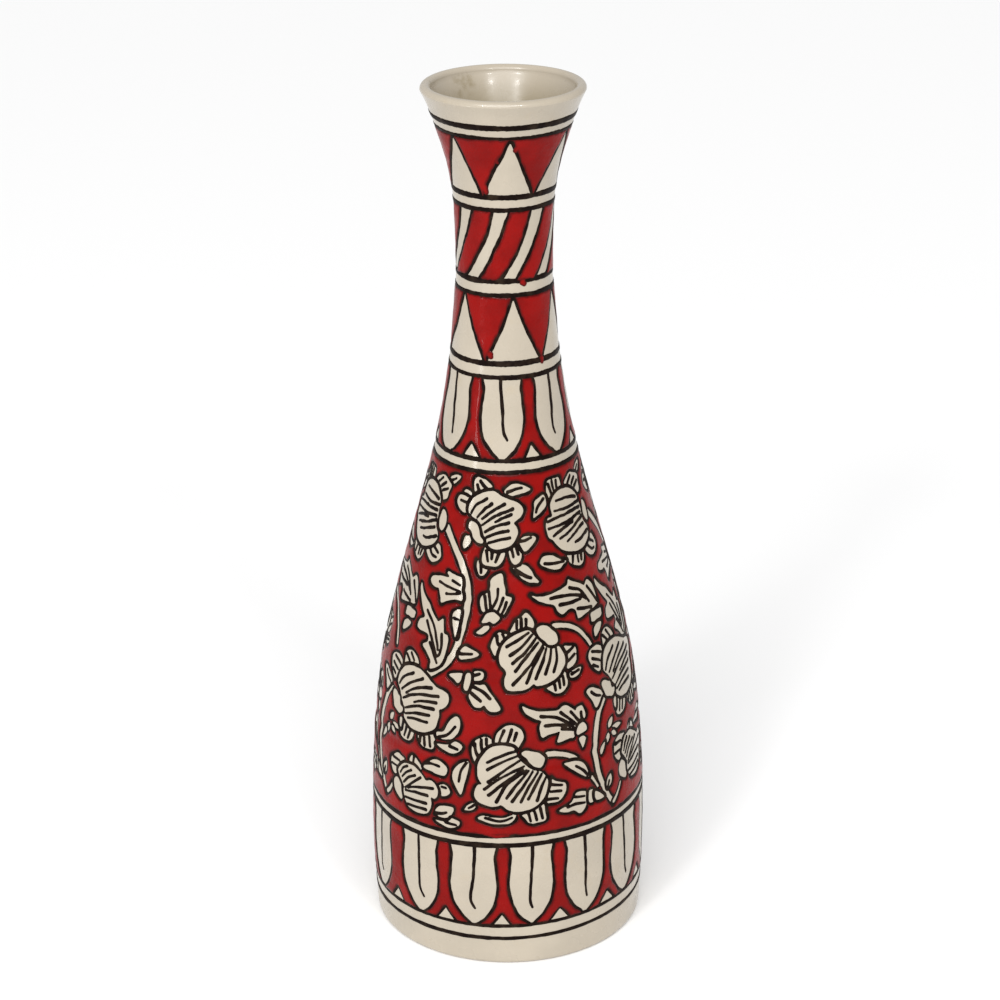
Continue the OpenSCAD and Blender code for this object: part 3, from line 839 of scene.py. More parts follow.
def spot(at, u, v):
    """The (angle, height) that lies u mm to the right of and v mm above a point."""
    return at[0] + math.degrees(u / outer_r(at[1] + v)), at[1] + v


def motif(band, layer, at, rim, strokes=(), turns=TURNS, width=1.2, line=LINE):
    """A cream shape with brush strokes on it. Its points are mm to the right of and above `at`."""
    for turn, rise in turns:
        band.shape(layer, moved([spot(at, *p) for p in rim], turn, rise), line=line)
        for stroke in strokes:
            band.stroke(layer, moved([spot(at, *p) for p in stroke], turn, rise), width, 0.85)


def leaf(band, base, tip, width, bend=0.0, vein=0.66, turns=TURNS, line=LINE):
    """An almond leaf from its base to its tip, bent sideways by bend mm, with a midrib."""
    ux, uy = math.radians(tip[0] - base[0]) * outer_r(tip[1]), tip[1] - base[1]
    length = math.hypot(ux, uy)
    ax, ay = ux / length, uy / length

    def at(s, side):
        x = s * length
        y = side * width / 2 * math.sin(math.pi * s**0.9) ** 0.8 + bend * math.sin(math.pi * s)
        return ax * x - ay * y, ay * x + ax * y

    shares = np.linspace(0, 1, 9)
    rim = [at(s, 1) for s in shares] + [at(s, -1) for s in shares[-2:0:-1]]
    rib = [[at(0.06, 0), at(vein * 0.5, 0), at(vein, 0)]] if vein else []
    motif(band, LEAVES, base, rim, rib, turns, 1.1, line)


def flower(band, at, petals, fan, hatching, calyx, turns=TURNS):
    """A hatched fan over its side petals, each a rim and its strokes, with the calyx laid on last."""
    for rim, strokes in petals:
        motif(band, FLOWERS, at, rim, strokes, turns)
    motif(band, FLOWERS, at, fan, turns=turns)
    thin_start, thick_end = 0.9, 1.42
    for turn, rise in turns:
        for stroke in hatching:
            path = moved([spot(at, *p) for p in stroke], turn, rise)
            band.stroke(FLOWERS, path, thin_start, thick_end)
    motif(band, FLOWERS, at, calyx, (), turns, line=LINE * 0.9)


def paint_vines(band):
    """The cream vines, each a path of (angle, height) with its width and its end's share of that."""
    for path, width, end in (
            (((-42, 156.9), (-36, 153.1), (-30.5, 149), (-25.5, 144), (-22.6, 138.9), (-21.6, 132.8),
              (-22.6, 125.8),
              (-25.5, 118.2), (-30, 112.6), (-36, 108.6), (-40, 106.5)), 2.2, 1.0),
            (((25, 125.6), (30, 125.1), (36, 123.3), (41, 120), (44.7, 115.6), (46.5, 111.1)), 1.7, 0.7),
            (((48, 95.9), (44.3, 91.3), (41.6, 85.3), (40.2, 79.2), (40.6, 73.1), (42.2, 67), (45, 61.5),
              (49.5, 55.4)), 2.2, 0.8),
            (((17.3, 81.4), (22, 80.8), (28, 78.5), (33, 74.6), (37, 69.6), (40.5, 64.5)), 2.1, 0.35),
            (((50, 55.9), (52.5, 58.2), (55, 61.8)), 1.5, 0.6)):
        for turn, rise in TURNS:
            band.ribbon(VINES, moved(path, turn, rise), width, end=end)
    # the sprig at the back
    band.ribbon(VINES, [(171, 57), (167, 72), (172, 90), (168, 110), (172, 128), (168, 146), (171, 160)],
                2.0, end=0.6)


def paint_leaves(band):
    """The leaves, the buds and the tulip. Points in mm count from a place of (angle, height)."""
    short_cut, long_cut, bud, tulip = (-37, 138), (-42, 122), (-15, 105), (-6, 134.5)
    left_cut, low_cut, great = (36, 132), (22, 92.5), (2.5, 74.1)

    def lay(at, rim, strokes=(), width=1.2, line=LINE):
        motif(band, LEAVES, at, rim, strokes, width=width, line=line)

    # the cut leaf left of the first vine, and the long one below it
    lay(short_cut, [
        (-6.5, 0.1), (-5.7, 1.5), (-2.8, 2.2), (0.2, 2.8), (1.4, 3.2), (0.6, 4.2), (1.4, 4.9), (4.1, 4.2),
        (6.1, 3.8),
        (6.8, 1.8), (6.9, -0.5), (7.5, -2), (7.5, -3.9), (5.6, -3.9), (2.5, -4.7), (-0.2, -6.2),
        (-0.9, -4.3),
        (-1.9, -1.8), (-3.6, -1.8), (-5.5, -1.2)
    ], [[(-2, 0.4), (2, -0.2), (6.4, -0.9)], [(1.4, -2.7), (4, -2.3), (6.6, -1.5)], [(3, 2.2), (6, 1.2)]],
    width=1.05)
    lay(long_cut, [(10.8, 8.8), (8.5, 6.5), (9.1, 3.8), (10.4, 0.1), (11.4, 0.3),
                                     (11.4, 6.5)],
        [[(9.4, 5.6), (11.6, 5.6)]])
    lay(long_cut, [
        (-7.6, 13.9), (-6.3, 12), (-4, 9.7), (-2.1, 8.4), (-0.5, 6.5), (2.2, 4), (3.1, 3.6), (5, 4.8),
        (5.6, 2.6),
        (6, 0.3), (7.5, -0.4), (8.1, -2), (7.7, -5.1), (7.2, -8.2), (5.6, -11.2), (2.5, -13.3), (2, -12.4),
        (2, -10.5), (0.2, -8.2), (-2.1, -6), (-0.2, -4.3), (0, -3), (-0.8, -1.8), (-5.9, -1.1), (-5.9, 1.8),
        (-4, 3), (-3.6, 4), (-5.5, 6.8), (-7.1, 9.9), (-7.9, 12.2)
    ], [[(-2.6, 6), (1.2, 2), (3.4, -2.6), (4.4, -6)], [(-1.9, 2.4), (1.4, -2.8), (4, -7.6)],
        [(5.1, -0.4), (5.6, -4), (5.2, -7.4), (4, -8.4)], [(1, -4.4), (2.8, -7.4), (4.6, -10.6)]],
        width=1.1)
    lay(bud, [
        (-4.2, 14.2), (-2.2, 13.9), (0.9, 12), (-1, 10.7), (-3.6, 10.1), (-5.6, 9.8), (-6.2, 11.6)
    ], [[(-6.2, 11.6), (-1.4, 12)]])
    # the bud ornament right of the first vine
    lay(bud, [(-9.8, 3.6), (-7.5, 4.5), (-4.8, 4.7), (-5.2, 2.6), (-6.3, 1.1),
                                     (-7.8, 2.2)])
    lay(bud, [(-0.5, 5.9), (1.4, 6.5), (3.1, 5.9), (2.9, 3.8), (1, 3.1),
                                     (-0.4, 3.3)],
        [[(-0.6, 4.6), (1.6, 5.4)]])
    lay(bud, [
        (-0.4, 1.3), (1.8, 1.8), (3.7, 2), (5.2, -0.1), (7.2, -2.8), (9.3, -6), (8.7, -7.2), (6.4, -7.6),
        (4.8, -6.8),
        (3.7, -5.5), (2.2, -6.4), (0.2, -6.2), (-1.3, -4.3), (-2.1, -2.8), (-1.6, -1)
    ], [[(-0.9, -1.7), (2.3, -4)], [(-0.4, 0.7), (3, -0.6), (5.8, -2.9)]], width=1.4)
    lay(bud, [
        (-3.4, 4.7), (-2.1, 5.3), (-1.5, 4.5), (-1.7, 1.8), (-2.5, -0.8), (-3.4, -1), (-4.2, 0.3),
        (-4, 2.6)])
    # the tulip
    lay(tulip, [
        (-4, -3.4), (-5.5, -1.6), (-5.7, 0.7), (-4.8, 2.4), (-2.6, 3.6), (-2.2, 5.3), (-2.1, 7.6),
        (-0.5, 9.3),
        (1.4, 9.8), (2.1, 9.1), (2.4, 6.8), (3.1, 4.5), (3.4, 2.4), (5.5, 1.8), (4.8, -0.5), (3.3, -3.2),
        (1.8, -4.2)
    ], [[(-4, 2), (-3.6, -1), (-3.2, -3.2)], [(-2.5, 3.6), (-2.2, 0), (-1.8, -2.8)],
        [(0.5, 4.6), (0.4, 1.6), (-1.2, -1.6)],
        [(2.6, 1.6), (1.8, -0.6), (0.6, -3)], [(3.8, 0.2), (3, -2), (2.2, -3.6)]])
    lay(tulip, [
        (-2.5, -7.4), (-2.3, -8.5), (-4.4, -10.5), (-6.6, -10.4), (-5.5, -9.1), (-3.6, -7.6)], line=1.0)
    lay(tulip, [
        (-4.8, -6.8), (-4.2, -5.1), (-3.2, -3.7), (-1.3, -3.1), (0.2, -3.8), (1.4, -5.2), (-0.7, -6.8),
        (-2.1, -6.3),
        (-3.2, -6.6)], line=1.0)
    # the leaves either side of the tulip's tip
    lay(tulip, [(-6.3, 13.9), (-7, 11.8), (-6.2, 9.2), (-4.4, 9.2), (-3.2, 11.3),
                                      (-4.6, 12.4)],
        [[(-5.5, 13.4), (-5.5, 10)]])
    lay(tulip, [
        (5.4, 11.5), (7.9, 12.5), (10.2, 11.9), (11.8, 10.3), (12.9, 8.4), (14.9, 6.4), (12.5, 6.1),
        (10.2, 6.7),
        (7.9, 8.4)], [[(6.4, 10.6), (9, 8.8), (11.7, 7.8)]], width=1.5)
    # the cut leaf that points left, with its two buds
    lay(left_cut, [
        (-13.8, 4.7), (-11.3, 4), (-6.3, 4.2), (-2.8, 4.9), (-0.3, 5.7), (0.6, 7.3), (1.6, 6.7),
        (4.1, 5.3), (6.8, 3.8),
        (7.6, 3.7), (9.3, 5.1), (11, 3.8), (12.2, 1.5), (13.1, -3.2), (12.2, -4.3), (9.5, -4.9),
        (6.4, -5.7),
        (2.8, -6.4), (2.2, -5.1), (1.8, -3.3), (0.2, -2.2), (-1.7, -2.4), (-3.8, -3.3), (-5.5, -2),
        (-6.1, -0.1),
        (-7.1, 0.7), (-9.8, 1.7), (-12.1, 3)
    ], [[(-7.2, 2.7), (-1.5, 2.4), (4, 1), (7.2, -1)], [(0.6, 4.4), (5, 2.4), (8.6, -2.2)],
        [(-4.2, -0.1), (0, -0.4), (4.6, -0.4)],
        [(8.9, 2.8), (11, -0.2), (12.8, -3.4)], [(2.8, -3.1), (6, -3.8), (9.4, -4.3)]], width=1.3)
    lay(left_cut, [(8.9, -6.3), (13.9, -6.3), (14.3, -7.6), (13.7, -9), (8.9, -9.6),
                                    (8.4, -8)])
    lay(left_cut, [(9.2, -11.6), (11.2, -10.5), (13.4, -11), (11.8, -13.5), (9.3, -14.9),
                                    (8.8, -13)])
    # the cut leaf of the lower field, on its bud
    lay(low_cut, [
        (8, -8.2), (9.5, -7.4), (10.9, -8.5), (10.2, -10.5), (9.3, -12), (8.6, -10.5)], line=1.0)
    lay(low_cut, [
        (-11.7, 7.2), (-9.8, 6.1), (-6.3, 4.7), (-2.8, 4.2), (0.4, 4), (2.2, 5.2), (4.1, 5.1), (5.6, 4),
        (7.3, 2.5),
        (7.8, 3.5), (9.8, 3.8), (10.8, 2.2), (11.4, -0.6), (9.8, -2.2), (8, -3), (6.9, -4.8), (6.1, -7.1),
        (4.1, -7),
        (0, -7.5), (0.7, -5.1), (1.2, -3.7), (-0.5, -3.9), (-3.6, -4.3), (-5.7, -4.6), (-6.4, -2),
        (-6.2, 0.1),
        (-5.7, 1.3), (-7.8, 2.2), (-10.2, 3.8), (-11.3, 5.3)
    ], [[(-5.6, 2.8), (0, 1.4), (4, -1), (7, -4)], [(1.6, 3), (4.4, 0.6), (7.4, -2.4)],
        [(5.4, 2.6), (7.4, 0), (8.8, -2)],
        [(-4.4, -0.7), (0, -1.1), (5, -2.4)], [(9.6, 1.4), (9.8, -1), (10.6, -1.8)],
        [(2, -3), (5, -3.8), (7.4, -4.6)]],
        width=1.25)
    lay(low_cut, [
        (8.3, -3.1), (10.2, -2.4), (11.5, -3.9), (11.5, -5.5), (9.5, -6.4), (7.8, -6.6), (7.2, -5.2)],
        line=1.0)
    # the curved leaf below the great flower
    lay(great, [
        (-12.9, -16.2), (-10.9, -15), (-7.5, -15.4), (-3.6, -15.4), (-0.3, -14), (0.4, -14.6),
        (-0.5, -16.6),
        (-2.8, -17.8), (-7.5, -17.9), (-11.3, -17)], [[(-10.2, -15.9), (-5, -16.8), (-1, -15.3)]])
    # the leaf at the head of the second vine
    for rim, strokes in (
            ([(37.8, 100.2), (41.5, 100.9), (47.6, 98), (46.4, 96.2), (43.2, 93.2), (40.6, 96.6)],
             [[(40.6, 99.4), (43.4, 97.6), (46, 96.8)]]),
            # the small leaf left of the first vine
            ([(-24.8, 130.7), (-28.2, 130.2), (-29.2, 127.8), (-28, 124.1), (-26.7, 121.5), (-25.6, 124.2)],
             [[(-28, 127.8), (-26, 127.5)]]),
            # the small plant near the foot of the field
            ([(21.4, 59.3), (26.5, 61), (28.6, 63), (30, 64.8), (34.4, 64.2), (35, 61.6), (34, 58.5),
              (31, 56.7),
              (28.4, 58.3), (25, 58.1)], [[(25.5, 60), (29.5, 60.6), (33.8, 60)],
                                          [(29.4, 63.2), (33.6, 62.6)]]),
            ([(36, 63.8), (38.4, 63.6), (38.2, 59.6), (36, 59.8)], []),
            ([(38.8, 63), (40.8, 62.2), (44, 59.4), (39.6, 59.5)], [])):
        for turn, rise in TURNS:
            band.shape(LEAVES, moved(rim, turn, rise))
            for stroke in strokes:
                band.stroke(LEAVES, moved(stroke, turn, rise), 1.2, 0.8)
    leaf(band, (36.2, 69.4), (24.5, 76.6), 3.8, bend=-1.3, vein=0.62)
    leaf(band, (46.2, 62.2), (48.6, 67.2), 2.6, vein=0.5)
    # the twig right of the second vine
    for base, tip, width in (((49.4, 83.8), (52.6, 87.3), 2.2), ((52, 83.4), (58.6, 82.6), 1.9),
                             ((49, 82.2), (47.6, 78.4), 2.0), ((51.2, 81.8), (54.5, 80), 1.8),
                             ((43.4, 75.3), (46.2, 79.8), 1.9)):
        leaf(band, base, tip, width, vein=0, line=1.0)
    # the leaves beside the flowers
    for base, tip, width, bend in (
            ((-48.5, 171.5), (-36.8, 174.8), 2.8, 0.2), ((-17.4, 79), (-20.2, 66.2), 5.2, -1.8),
            ((-13.4, 63.6), (-18.4, 60.6), 2.4, 0.2)):
        leaf(band, base, tip, width, bend)
    # the sprig at the back
    here = ((0, 0),)
    for base, tip, width in (((168, 66), (158.5, 76), 6), ((170, 80), (180, 91), 6),
                             ((170.5, 97), (160, 108), 6),
                             ((169, 113), (180, 124), 5.5), ((171, 131), (160.5, 140), 5),
                             ((169, 146), (181, 154), 4.6),
                             ((171, 160), (170, 172), 5)):
        leaf(band, base, tip, width, 0.6, turns=here)


def paint_flowers(band):
    """The six flowers of the repeat, each with its points in mm from its own middle."""
    # the tall flower at the shoulder that leans on its stem
    flower(band, (-67, 159.2), (
        ([(-6.7, 7.6), (-6.9, 9.5), (-6.5, 12.2), (-5.7, 13.9), (-4.2, 14.3), (-2.1, 14.3), (-0.5, 14),
          (-0.1, 11.8),
          (-0.5, 9), (-3.6, 8), (-5.5, 7)],
         [[(-5.5, 13), (-4.9, 9.8)], [(-3.8, 13.6), (-3.7, 10.6)], [(-2.1, 13.4), (-2.3, 11)]]),
        ([(1.2, 10.4), (2.9, 12.6), (5.6, 13.9), (7.9, 13.2), (10.1, 11.8), (9.8, 9.2), (9.5, 6.6), (7, 6),
          (3, 9)],
         [[(3.4, 10.8), (5.4, 12.8)], [(5.6, 10), (7.4, 11.8)], [(6.8, 8.8), (9, 10.2)]]),
        ([(-3, -11), (-2.8, -13.4), (-2.1, -15.1), (0.2, -16.5), (2.5, -16.6), (4.1, -14.7), (4.2, -11.6),
          (0.5, -10.6)],
         [[(-0.6, -12.6), (-1.2, -15.2)], [(1.5, -12.8), (1.3, -15.4)], [(3.3, -12.6), (2.8, -15)]]),
        ([(5.8, -12), (7.2, -14.3), (9.8, -15.5), (12.5, -14.7), (13.8, -12.8), (12.9, -10.5),
          (11.4, -8.7), (8.5, -9)],
         [[(7.6, -11.4), (9.4, -13.2), (11.6, -13.6)], [(9.8, -10.4), (12, -11.8)]]),
        ([(-8, 10), (-10.7, 9), (-11.9, 7.6), (-12.3, 5.3), (-13.1, 2.6), (-11.6, 3.1), (-9.4, 4.5),
          (-7.5, 6.5)],
         [[(-8.4, 8.6), (-10.6, 6.6), (-11.8, 4.2)]]),
        ([(-14.1, -12.4), (-13.2, -10.7), (-11.7, -10.1), (-8.6, -10.8), (-6.1, -12.6), (-3.8, -13.7),
          (-5.5, -14.7),
          (-7.5, -15.7), (-10.2, -15.1), (-12.1, -13.9)], [[(-12.4, -12.6), (-9, -13.4), (-5, -13.5)]]),
    ), [(-6.1, 5.3), (-5.6, 7), (-4, 8.7), (-1.7, 9.8), (0.6, 10), (3.3, 9.3), (5.6, 7.4), (7.2, 5.1),
        (7.8, 1),
        (7.9, -2.8), (9.6, -5.4), (9.8, -7.4), (8.9, -9.1), (6.4, -10.8), (3.3, -11.7), (-0.2, -11.5),
        (-3.6, -10.3),
        (-5.9, -8.2), (-7.5, -5.8), (-9, -4.7), (-9.3, -2.4), (-9, 0), (-8, 1.7), (-6.1, 2.3)],
        [[(-3.4, 6.8), (1, 6.6), (6, 5.4)], [(-4.8, 3.7), (1, 3.3), (7, 3.6)],
         [(-8.2, 0.6), (-3, 1.4), (6.8, 1.6)],
         [(-8.4, -1.8), (0, -1), (7, -0.2)], [(-7, -4.5), (-3, -2.8), (2, -1.8)],
         [(-4.6, -5.8), (1, -4), (7.4, -1.6)],
         [(-2, -7.4), (3, -5.6), (7.4, -4)], [(1.6, -8.8), (4.5, -8.5), (9.2, -6.6)]],
        [(9.6, 2.8), (10.7, 2.6), (11.8, 0.7), (12, -2), (11.2, -3.8), (9.8, -3.3), (9, -1.2), (9.2, 1.1)])
    # the flower between two of those
    flower(band, (-8, 161.2), (
        ([(-6.4, 8), (-7.4, 11), (-7.4, 13), (-6.4, 14.5), (-4.6, 14.1), (-2.6, 13), (-1, 11), (-1.6, 9)],
         [[(-6.3, 12), (-5.5, 9.6)], [(-5.3, 13.2), (-4, 11.6), (-2.8, 10.6)]]),
        ([(-8, 8.6), (-9.8, 9.9), (-11.4, 8.9), (-11, 7.8)], ()),
        ([(-12.2, 7.7), (-13.8, 6.2), (-14, 4.6), (-13, 3), (-11, 1.8), (-8.6, 3), (-8, 6.5)],
         [[(-12.3, 5.7), (-10, 5.3)]]),
        ([(-2, -7.6), (-3.2, -9.4), (-3.9, -11.4), (-3.7, -13.7), (-1.6, -14.3), (1, -14.4), (2.8, -13),
          (3.7, -10.4),
          (3, -8)], [[(-2.3, -9.6), (-1.8, -12.8)], [(-0.3, -9.8), (-0.5, -12)], [(1.9, -10), (0.7, -13)]]),
        ([(4.6, -7), (5, -10.4), (6, -13), (7.2, -14.1), (8.9, -13.4), (9.6, -11), (8.9, -8.8),
          (7.6, -5.8)],
         [[(6, -9), (6.6, -11.4)], [(7.4, -7.6), (8.4, -10.6)]]),
        ([(8.6, -5.8), (11, -4.6), (13.9, -5.3), (14, -6.8), (12.2, -8.9), (10.6, -9.7), (9.4, -8)],
         [[(9.2, -6.2), (11, -5.9), (12.6, -5.4)]]),
        ([(2.8, 10.2), (4, 11.8), (6.4, 12.7), (9, 12.1), (11.8, 10.6), (10, 9.4), (7, 8.8), (4.4, 8.6)],
         [[(3.9, 10), (6.5, 10.6), (9, 11)]]),
        ([(-9.8, -5.6), (-8, -5.7), (-8.1, -7.8), (-10.2, -9.8), (-10.9, -8.5), (-10.6, -7)], ()),
    ), [(-9.3, 3.4), (-8.6, 5.8), (-7, 8), (-4.5, 9.5), (-1.2, 10), (0.6, 9.6), (1.5, 8.9), (3.9, 8),
        (6.1, 7.1),
        (7.9, 6.2), (9.4, 4.8), (9.6, 3.2), (8.7, 1.5), (7.4, 0.6), (6.5, -0.3), (7.4, -1.6), (8.1, -3.4),
        (7.4, -5.4), (6.2, -7.2), (4, -8.4), (1.4, -8.9), (-1, -8.2), (-2.2, -6.8), (-3.2, -4.6),
        (-4.3, -2),
        (-5.6, 0.4), (-7.4, 1.1), (-8.8, 1.9)],
        [[(-8.2, 2.1), (-6.5, 5.2), (-3, 7.4)], [(-5.8, 1.2), (-3.5, 4), (-1.2, 5.9)],
         [(-4, 0.9), (-0.5, 3.8), (3.2, 6)],
         [(-3.9, -1.2), (0.5, 2.2), (6, 4.4)], [(0.5, 0.2), (3, 1.6), (5.6, 2.6)],
         [(-3, -3.4), (0.5, -1.3), (4.8, -0.1)],
         [(-2.7, -5.2), (0.8, -3.6), (4.6, -2.7)], [(-1.6, -6.8), (1.5, -5.8), (5.2, -5.1)]],
        [(-8.6, -0.6), (-9, -2.8), (-7.7, -4.2), (-7, -6), (-5.5, -7.3), (-3.8, -7.3), (-3.5, -6.2),
         (-4.5, -5),
         (-5, -3), (-5.8, -1.2), (-7.2, -0.4)])
    # the flower in the middle of the field
    flower(band, (12, 115.6), (
        ([(-7.1, 8.6), (-6.2, 11.2), (-4.6, 13.2), (-2.6, 14.4), (-1, 15.5), (0.6, 13.6), (1.4, 11),
          (-0.4, 8.8),
          (-3.4, 8)], [[(-4.6, 13), (-4.9, 9.8)], [(-3, 13.6), (-3.2, 9.8)], [(-1.3, 13.2), (-1.6, 10.6)]]),
        ([(-12.2, 8.4), (-13.7, 5.4), (-13.9, 3.8), (-12.4, 1), (-10.6, 1.6), (-8.6, 5), (-8, 8),
          (-9, 8.6), (-10.6, 9.1)],
         [[(-11.8, 8), (-11.6, 5.6), (-10.8, 4)], [(-9.8, 8.4), (-9, 6.6)]]),
        ([(10.8, 1.9), (14, 1.8), (16.3, 0.9), (16.7, -1.2), (16.2, -3.9), (14.1, -5.5), (11.4, -5)],
         [[(12.4, -0.4), (13.8, 0.1), (15.4, 1)], [(12.6, -3.4), (14, -2.6), (15.8, -1.4)]]),
        ([(3.8, -9.6), (6.6, -12.4), (8.8, -13.3), (11, -12.8), (12.4, -11), (12.3, -8.6), (11.2, -6),
          (8, -7)],
         [[(7.2, -9.6), (7.7, -12)], [(8.9, -8.6), (9.4, -11.6)], [(10.6, -7.6), (11, -10.8)]]),
        ([(13.3, -7.4), (14.6, -6.6), (18.1, -6.3), (17.6, -8.2), (15.6, -9.1), (13.6, -8.8)],
         [[(14.2, -7.8), (17.2, -7.1)]]),
    ), [(-9.7, 4.9), (-7.8, 6.8), (-5.5, 8.2), (-2.8, 9.1), (-0.6, 9.3), (1.4, 7.4), (3.3, 5.2), (5, 3.8),
        (6.8, 3),
        (9.3, 3), (10.6, 1.5), (11.9, -1.2), (11.7, -3.5), (10.4, -5.8), (8.7, -7.5), (6, -8.8),
        (3.7, -9.5), (1, -9.5),
        (0, -8.7), (-1.7, -9.9), (-4.4, -10.6), (-8.4, -10.4), (-9.9, -8.9), (-9.9, -6.6), (-9.2, -4.7),
        (-9.4, -3.6), (-10.7, -2), (-11.2, 0.3), (-10.7, 2.6)],
        [[(-0.8, 8.6), (-4.5, 6.4), (-8.4, 4.2)], [(0.4, 7.8), (-3.4, 4), (-7.3, 1.2)],
         [(1.6, 6.4), (-2.5, 2), (-6.7, -1.4)],
         [(2.4, 5.2), (-2, 0.6), (-5.8, -4)], [(3.8, 4), (-0.8, -2.4), (-7, -8.4)],
         [(4, 3.2), (0.4, -2.6), (-2.4, -8.2)],
         [(5, 3), (3.2, -2), (0.9, -7)], [(6.6, 2.4), (5.8, -1.8), (4.2, -5.9)],
         [(8.6, 2.4), (8.6, -1.6), (7.2, -5.6)]],
        [(2.1, 9.6), (3.7, 10.6), (6, 10.4), (7.6, 9), (9.1, 7.4), (9.6, 5.7), (9.3, 4.3), (7.9, 3.7),
         (6, 4.1),
         (4.8, 5.3), (3.7, 6.2), (2.6, 7.6)])
    # the flower left of it, whose copy on the right sits higher
    flower(band, (-43, 96.4), (
        ([(-18.3, 7.2), (-18.5, 9.2), (-17.3, 11.1), (-14.8, 11.9), (-12.5, 11.7), (-10.4, 9.6), (-11.4, 5),
          (-13.2, 4), (-14.8, 2.9), (-16.3, 3.8), (-17.8, 5.7)],
         [[(-16.2, 10.6), (-12, 9.2)], [(-16.8, 8), (-13.4, 6.6)], [(-17, 5.6), (-14.8, 4.6)]]),
        ([(-9.7, 9), (-9.5, 13.8), (-7.8, 15.6), (-5.5, 16), (-3.2, 14.4), (-2, 11.6), (-4, 10), (-7, 9)],
         [[(-8.8, 13.8), (-7.2, 12.2)], [(-6.4, 15), (-4.8, 12.8)]]),
        ([(-6.3, -9), (-7.8, -12.8), (-8.5, -14.7), (-7.1, -16.1), (-4.4, -16.3), (-2.7, -15.5),
          (-1.4, -13.6), (-1, -10)],
         [[(-5.2, -11.4), (-6.2, -15)], [(-3, -12), (-4.2, -15.2)]]),
        ([(0.5, -10), (0.8, -12.6), (1.4, -14.3), (3.3, -15.9), (5.2, -16.1), (7.5, -15.6), (8.2, -12.8),
          (7.7, -9)],
         [[(2, -12), (2, -14.6)], [(3.7, -11.6), (4.1, -15.4)], [(5.8, -11.2), (6.4, -15)]]),
        ([(-9.3, -9.3), (-7.8, -9), (-8.2, -12.9), (-9.2, -12)], ()),
        ([(8.7, -9.2), (11.4, -8.2), (12.9, -5.1), (14.1, -3.2), (15.8, -1.9), (17, -3), (17.4, -5.5),
          (16.6, -8.2),
          (14.8, -10.3), (11.8, -11.1), (9.3, -11)], [[(9.8, -10.6), (13, -9.2), (15.6, -6)]]),
        ([(9, -13.2), (11.8, -12.9), (14.1, -12.4), (16, -11.1), (17.9, -11.6), (18.8, -12.8),
          (17.3, -14.9),
          (14.8, -15.6), (11.8, -14.7)], [[(14, -13.2), (17, -13.8)]]),
    ), [(-12.4, 2.6), (-12.2, 4.5), (-11.3, 6.8), (-9.8, 9), (-7.5, 10.4), (-4.8, 11), (-1.7, 10.9),
        (0.6, 10.1),
        (2.5, 9.2), (4.1, 8.2), (6, 7.2), (7.9, 6.7), (9.8, 6.3), (11.6, 5.3), (12.3, 3.4), (11.8, 1.5),
        (10.2, -0.1),
        (8.9, -0.9), (9.1, -2.8), (8.8, -5.8), (7.9, -8.2), (5.6, -9.8), (2.5, -10.9), (-0.5, -11.1),
        (-3.6, -10.6),
        (-5.9, -9.2), (-7.1, -8), (-7.2, -5.6), (-7.8, -3.9), (-9, -2.4), (-9.8, -0.8), (-10.7, 0.6)],
        [[(-11.2, 2.4), (-9, 5.6), (-4.2, 8.6)], [(-9.4, 1), (-5, 4.6), (0.6, 7.8)],
         [(-7, 0.4), (-2, 3.6), (4.8, 5.9)],
         [(-8.2, -1.8), (-2, 1.4), (8, 3.8)], [(-2.4, -1.4), (2, 0.2), (7.4, 1.4)],
         [(-6.6, -4.6), (-1, -2.4), (6.6, -1.3)],
         [(-6.4, -6.6), (-1, -4.8), (5, -4.1)], [(-5, -7.8), (-1, -7), (4.4, -6.8)]],
        [(-14.9, -2), (-14, -0.7), (-12.5, -0.8), (-11.3, -1.6), (-10.1, -2.2), (-9.6, -4.6), (-8, -5.2),
         (-8.2, -6.6), (-9.8, -7.8), (-11.7, -7.2), (-13.4, -6.4), (-14, -4.7)],
        turns=(TURNS[0], TURNS[1], (109.5, 6)))
